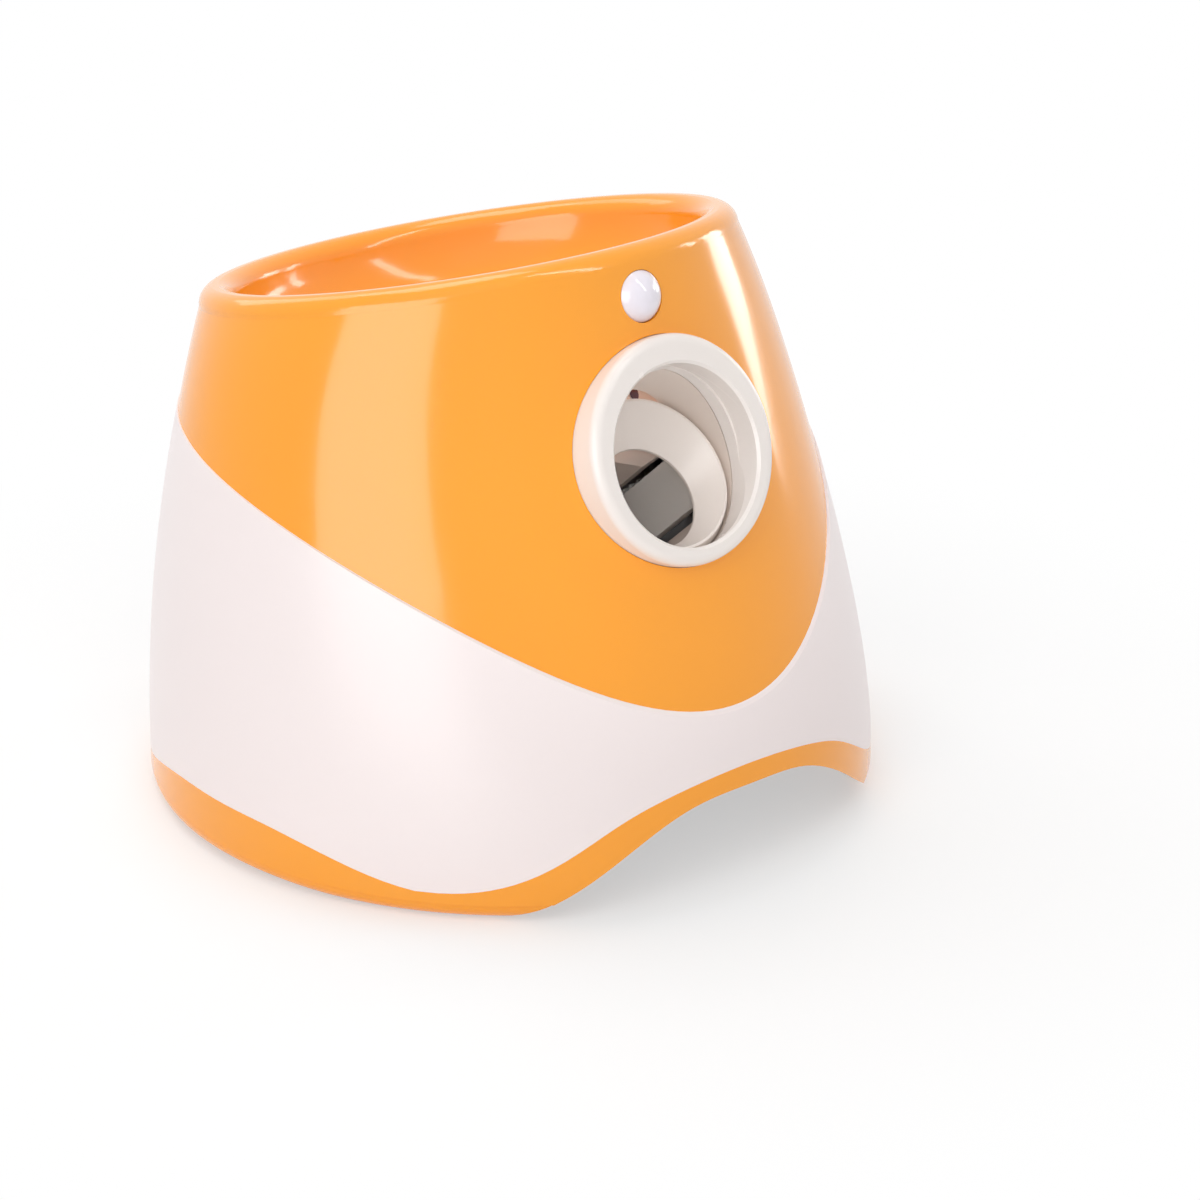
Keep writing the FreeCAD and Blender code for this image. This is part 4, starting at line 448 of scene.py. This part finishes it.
barrelWay = Vector((0, 0.743144825, -0.669130606))
panelWay = Vector((0, 0.975149354, 0.221548498))
screwWays = [Vector((0, 0, 1)), Vector((1, 0, 0)), barrelWay, barrelWay.cross(Vector((1, 0, 0))).normalized(), panelWay]
screwNodes = {"deck_screws": "deckScrews", "shell_screws": "shellScrews", "barrel_screws": "barrelScrews",
              "frame_screws": "frameScrews", "gearbox_screws": "gearboxScrews", "motor_screws": "motorScrews",
              "panel_screws": "panelScrews", "board_screws": "boardScrews"}
templates = {}
for node, piece in screwNodes.items():
    copies = []
    for screw in measureScrews(node, screwWays):
        sizes = tuple(round(v, 5) for v in (screw["head"], screw["top"] - screw["seat"],
                                            screw["top"] - screw["tip"], screw["shank"]))
        if sizes not in templates:
            templates[sizes] = makeScrew(*sizes)
        copies.append(placeCopy(templates[sizes], screw["way"], screw["centre"] + screw["way"] * screw["top"]))
    finishPiece(joinPieces(copies), piece, "steel", "casing", [node])
    print(piece, len(copies))
for template in templates.values():
    bpy.data.objects.remove(template)

footPad = {"rings": 3, "groove": 0.0005, "edge": 0.0006}


def makeFootPad(pad):
    # A rubber pad whose lower face carries ring grooves.
    height = pad["top"] - pad["tip"]
    deselectAll()
    bpy.ops.mesh.primitive_cylinder_add(vertices=40, radius=pad["head"], depth=height, location=(0, 0, height / 2))
    foot = bpy.context.object
    makeActive(foot)
    bpy.ops.object.transform_apply(location=True, rotation=True, scale=True)
    selectFaces(foot, lambda c, n: n.z < -0.9)
    bpy.ops.mesh.bevel(offset=footPad["edge"], segments=2, affect="EDGES")
    step = (pad["head"] - footPad["edge"]) / (2 * footPad["rings"] + 1)
    selectFaces(foot, lambda c, n: n.z < -0.9)
    for ring in range(footPad["rings"]):
        for rise in (1, -1):
            bpy.ops.mesh.inset(thickness=step)
            bpy.ops.mesh.extrude_region_move(TRANSFORM_OT_translate={"value": (0, 0, rise * footPad["groove"])})
    bpy.ops.object.mode_set(mode="OBJECT")
    return foot


feet = []
for pad in measureScrews("rubber_feet", screwWays[:1]):
    feet.append(makeFootPad(pad))
    feet[-1].location = (pad["centre"].x, pad["centre"].y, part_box("rubber_feet")[0][2])
finishPiece(joinPieces(feet), "gripFeet", "rubber", "casing", ["rubber_feet"])
print("feet placed")

# barrel frame: origin on the muzzle end of the bore axis
barrelStart = Vector((0, -0.071994, 0.121809))
launchCoil = {"side": -0.037, "front": 0.0128, "rear": 0.0832, "radius": 0.0046, "wire": 0.0008, "turns": 11,
              "fixedEnd": 0.084, "travel": 0.0519, "rest": 0.072}
batteryCoil = {"radius": 0.0055, "tipRadius": 0.0032, "length": 0.0075, "wire": 0.00045, "turns": 3.5,
               "rows": (0.021807, 0.04914, 0.076473), "base": 0.054, "height": 0.0218}


def makeCoil(radius, wire, length, turns, steps=28):
    deselectAll()
    bpy.ops.mesh.primitive_circle_add(vertices=10, radius=wire, location=(radius, 0, 0),
                                      rotation=(math.radians(90), 0, 0))
    spring = bpy.context.object
    makeActive(spring)
    bpy.ops.object.transform_apply(location=True, rotation=True, scale=True)
    winding = spring.modifiers.new("winding", "SCREW")
    winding.axis = "Z"
    winding.angle = 2 * math.pi * turns
    winding.screw_offset = length
    winding.steps = int(steps * turns)
    winding.render_steps = int(steps * turns)
    winding.use_normal_calculate = True
    bpy.ops.object.modifier_apply(modifier="winding")
    bpy.ops.object.mode_set(mode="EDIT")
    bpy.ops.mesh.select_all(action="SELECT")
    bpy.ops.mesh.remove_doubles(threshold=1e-7)
    bpy.ops.mesh.fill_holes(sides=12)
    bpy.ops.mesh.normals_make_consistent(inside=False)
    bpy.ops.object.mode_set(mode="OBJECT")
    return spring


spring = makeCoil(launchCoil["radius"], launchCoil["wire"], launchCoil["rear"] - launchCoil["front"],
                  launchCoil["turns"])
spring.matrix_world = (Matrix.Translation(barrelStart + barrelWay * launchCoil["front"]
                                          + Vector((launchCoil["side"], 0, 0)))
                       @ barrelWay.to_track_quat("Z", "Y").to_matrix().to_4x4())
finishPiece(spring, "launchSpring", "spring", "casing", ["launch_spring"])
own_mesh(spring)

cells = []
for row in batteryCoil["rows"]:
    coil = makeCoil(batteryCoil["radius"], batteryCoil["wire"], batteryCoil["length"], batteryCoil["turns"])
    shrink = (batteryCoil["radius"] - batteryCoil["tipRadius"]) / batteryCoil["length"]
    for vertex in coil.data.vertices:
        out = Vector((vertex.co.x, vertex.co.y, 0))
        vertex.co -= out.normalized() * shrink * max(0, vertex.co.z)
    coil.matrix_world = (Matrix.Translation((batteryCoil["base"], row, batteryCoil["height"]))
                         @ Vector((-1, 0, 0)).to_track_quat("Z", "Y").to_matrix().to_4x4())
    makeActive(coil)
    bpy.ops.object.transform_apply(location=True, rotation=True, scale=True)
    cells.append(coil)
finishPiece(joinPieces(cells), "batterySprings", "spring", "casing", ["battery_springs"])
print("springs wound")

# grip ribs below the battery door
doorGrip = {"ribs": 5, "pitch": 0.0024, "size": (0.026, 0.0011, 0.0006), "fromEdge": 0.006}
doorLow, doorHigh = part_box("battery_door")
deselectAll()
bpy.ops.mesh.primitive_cube_add(size=1, location=((doorLow[0] + doorHigh[0]) / 2, doorLow[1] + doorGrip["fromEdge"],
                                                  doorLow[2] - doorGrip["size"][2] / 4))
grip = bpy.context.object
grip.scale = doorGrip["size"]
makeActive(grip)
bpy.ops.object.transform_apply(location=True, rotation=True, scale=True)
for name, kind, values in (
        ("rounding", "BEVEL", {"width": 0.0002, "segments": 3}),
        ("row", "ARRAY", {"count": doorGrip["ribs"], "use_relative_offset": False, "use_constant_offset": True,
                          "constant_offset_displace": (0, doorGrip["pitch"], 0)})):
    modifier = grip.modifiers.new(name, kind)
    for key, value in values.items():
        setattr(modifier, key, value)
    bpy.ops.object.modifier_apply(modifier=name)
finishPiece(grip, "doorGrip", "greyChassis", "door", [])
print("small pieces placed")

# Floor, lamps and camera
stage = {"floorSize": 12, "worldLevel": 0.47, "middle": (0, 0, 0.1), "shadowShare": 0.5}


def whiteFor(tree, plain, share):
    # Shows white to the camera, glass and metal, by a share, and the plain shader to all other light.
    white = tree.nodes.new("ShaderNodeEmission")
    white.inputs["Strength"].default_value = 1
    rays = tree.nodes.new("ShaderNodeLightPath")
    seen = tree.nodes.new("ShaderNodeMath")
    seen.operation = "MAXIMUM"
    link(tree, rays.outputs["Is Camera Ray"], seen.inputs[0])
    link(tree, rays.outputs["Is Transmission Ray"], seen.inputs[1])
    mirrored = tree.nodes.new("ShaderNodeMath")
    mirrored.operation = "MAXIMUM"
    link(tree, seen.outputs[0], mirrored.inputs[0])
    link(tree, rays.outputs["Is Glossy Ray"], mirrored.inputs[1])
    amount = tree.nodes.new("ShaderNodeMath")
    amount.operation = "MULTIPLY"
    link(tree, mirrored.outputs[0], amount.inputs[0])
    if isinstance(share, float):
        amount.inputs[1].default_value = share
    else:
        link(tree, share, amount.inputs[1])
    mix = tree.nodes.new("ShaderNodeMixShader")
    link(tree, amount.outputs[0], mix.inputs["Fac"])
    link(tree, plain, mix.inputs[1])
    link(tree, white.outputs["Emission"], mix.inputs[2])
    return mix.outputs["Shader"]


deselectAll()
bpy.ops.mesh.primitive_plane_add(size=stage["floorSize"], location=(0, 0, -0.0002))
floor = bpy.context.object
floor.name = "studioFloor"
floorMaterial = bpy.data.materials.new("studioFloor")
floorMaterial.use_nodes = True
tree = floorMaterial.node_tree
tree.nodes["Principled BSDF"].inputs["Base Color"].default_value = (0.93, 0.93, 0.93, 1)
tree.nodes["Principled BSDF"].inputs["Roughness"].default_value = 0.6
place = tree.nodes.new("ShaderNodeTexCoord")
away = tree.nodes.new("ShaderNodeVectorMath")
away.operation = "LENGTH"
link(tree, place.outputs["Object"], away.inputs[0])
fade = tree.nodes.new("ShaderNodeMapRange")
fade.interpolation_type = "SMOOTHSTEP"
for label, value in (("From Min", 0.14), ("From Max", 0.32), ("To Min", 1 - stage["shadowShare"]), ("To Max", 1)):
    fade.inputs[label].default_value = value
link(tree, away.outputs["Value"], fade.inputs["Value"])
# seen from below the floor is clear, so the underside can be looked at
facing = tree.nodes.new("ShaderNodeNewGeometry")
clear = tree.nodes.new("ShaderNodeBsdfTransparent")
side = tree.nodes.new("ShaderNodeMixShader")
link(tree, facing.outputs["Backfacing"], side.inputs["Fac"])
link(tree, whiteFor(tree, tree.nodes["Principled BSDF"].outputs["BSDF"], fade.outputs["Result"]), side.inputs[1])
link(tree, clear.outputs["BSDF"], side.inputs[2])
link(tree, side.outputs["Shader"], tree.nodes["Material Output"].inputs["Surface"])
floor.data.materials.append(floorMaterial)

world = bpy.data.worlds.new("studioWorld")
bpy.context.scene.world = world
world.use_nodes = True
tree = world.node_tree
tree.nodes["Background"].inputs["Color"].default_value = (1, 1, 1, 1)
tree.nodes["Background"].inputs["Strength"].default_value = stage["worldLevel"]
link(tree, whiteFor(tree, tree.nodes["Background"].outputs["Background"], 1.0),
     tree.nodes["World Output"].inputs["Surface"])

# azimuth 0 is in front of the muzzle and grows to the right
# "light" lamps shade the object, "shine" lamps only show in its gloss, and the rest do both
lamps = {
    "windowSoftbox": {"azimuth": -71, "elevation": 24, "reach": 1.3, "size": (0.7, 0.9), "power": 2.6, "use": "light"},
    "windowShine": {"azimuth": -66, "elevation": 16, "reach": 1.3, "size": (1.0, 0.95), "power": 9, "use": "shine"},
    "edgeShine": {"azimuth": 86, "elevation": 8, "reach": 1.3, "size": (0.32, 0.4), "power": 2.4, "use": "shine"},
    "edgeSoftbox": {"azimuth": 86, "elevation": 26, "reach": 1.3, "size": (0.3, 0.6), "power": 1.6, "use": "light"},
    "topSoftbox": {"azimuth": 170, "elevation": 72, "reach": 1.4, "size": (0.7, 0.7), "power": 4.6, "use": "both"},
    "skySoftbox": {"azimuth": -50, "elevation": 56, "reach": 1.3, "size": (1.1, 0.8), "power": 4.3, "use": "light"},
    "frontSoftbox": {"azimuth": -30, "elevation": 30, "reach": 1.4, "size": (0.8, 0.6), "power": 1.0, "use": "light"},
    "hopperShine": {"azimuth": 24, "elevation": 50, "reach": 1.3, "size": (0.1, 1.1), "power": 2.6, "use": "shine"},
    "hopperEdge": {"azimuth": 70, "elevation": 16, "reach": 1.3, "size": (0.12, 0.3), "power": 0.9, "use": "shine"},
    "backSoftbox": {"azimuth": 188, "elevation": 40, "reach": 1.3, "size": (0.5, 0.9), "power": 2.4, "use": "both"},
}


def aim(azimuth, elevation):
    turn, rise = math.radians(azimuth), math.radians(elevation)
    return Vector((math.sin(turn) * math.cos(rise), -math.cos(turn) * math.cos(rise), math.sin(rise)))


for name, lamp in lamps.items():
    data = bpy.data.lights.new(name, "AREA")
    data.shape = "RECTANGLE"
    data.size, data.size_y = lamp["size"]
    data.energy = lamp["power"]
    obj = bpy.data.objects.new(name, data)
    bpy.context.scene.collection.objects.link(obj)
    away = aim(lamp["azimuth"], lamp["elevation"])
    obj.location = Vector(stage["middle"]) + away * lamp["reach"]
    obj.rotation_euler = (-away).to_track_quat("-Z", "Y").to_euler()
    obj.visible_glossy = lamp["use"] != "light"
    obj.visible_diffuse = lamp["use"] != "shine"

# a narrow lamp beside the camera looks into the muzzle
muzzleLamp = {"azimuth": -40, "elevation": 21, "reach": 1.3, "aim": (0.012, -0.07, 0.122), "spread": 3.4,
              "power": 60, "soft": 0.08}
data = bpy.data.lights.new("muzzleLamp", "SPOT")
data.energy, data.spot_blend, data.shadow_soft_size = muzzleLamp["power"], 1, muzzleLamp["soft"]
data.spot_size = math.radians(muzzleLamp["spread"])
obj = bpy.data.objects.new("muzzleLamp", data)
bpy.context.scene.collection.objects.link(obj)
away = aim(muzzleLamp["azimuth"], muzzleLamp["elevation"])
obj.location = Vector(muzzleLamp["aim"]) + away * muzzleLamp["reach"]
obj.rotation_euler = (-away).to_track_quat("-Z", "Y").to_euler()
obj.visible_glossy = False

photoView = {"azimuth": -40.113, "elevation": 20.979, "reach": 1.2176, "target": (0, -0.00186, 0.1),
             "lens": 111.95, "shift": (0.0748, -0.1020)}


def placeCamera(view):
    data = bpy.data.cameras.new("photoCamera")
    camera = bpy.data.objects.new("photoCamera", data)
    bpy.context.scene.collection.objects.link(camera)
    away = aim(view["azimuth"], view["elevation"])
    camera.location = Vector(view["target"]) + away * view["reach"]
    camera.rotation_euler = (-away).to_track_quat("-Z", "Y").to_euler()
    data.lens = view["lens"]
    data.sensor_width = 36
    data.sensor_fit = "HORIZONTAL"
    data.shift_x, data.shift_y = view["shift"]
    bpy.context.scene.camera = camera


placeCamera(photoView)
bpy.context.scene.view_settings.view_transform = "Standard"
print("scene ready")
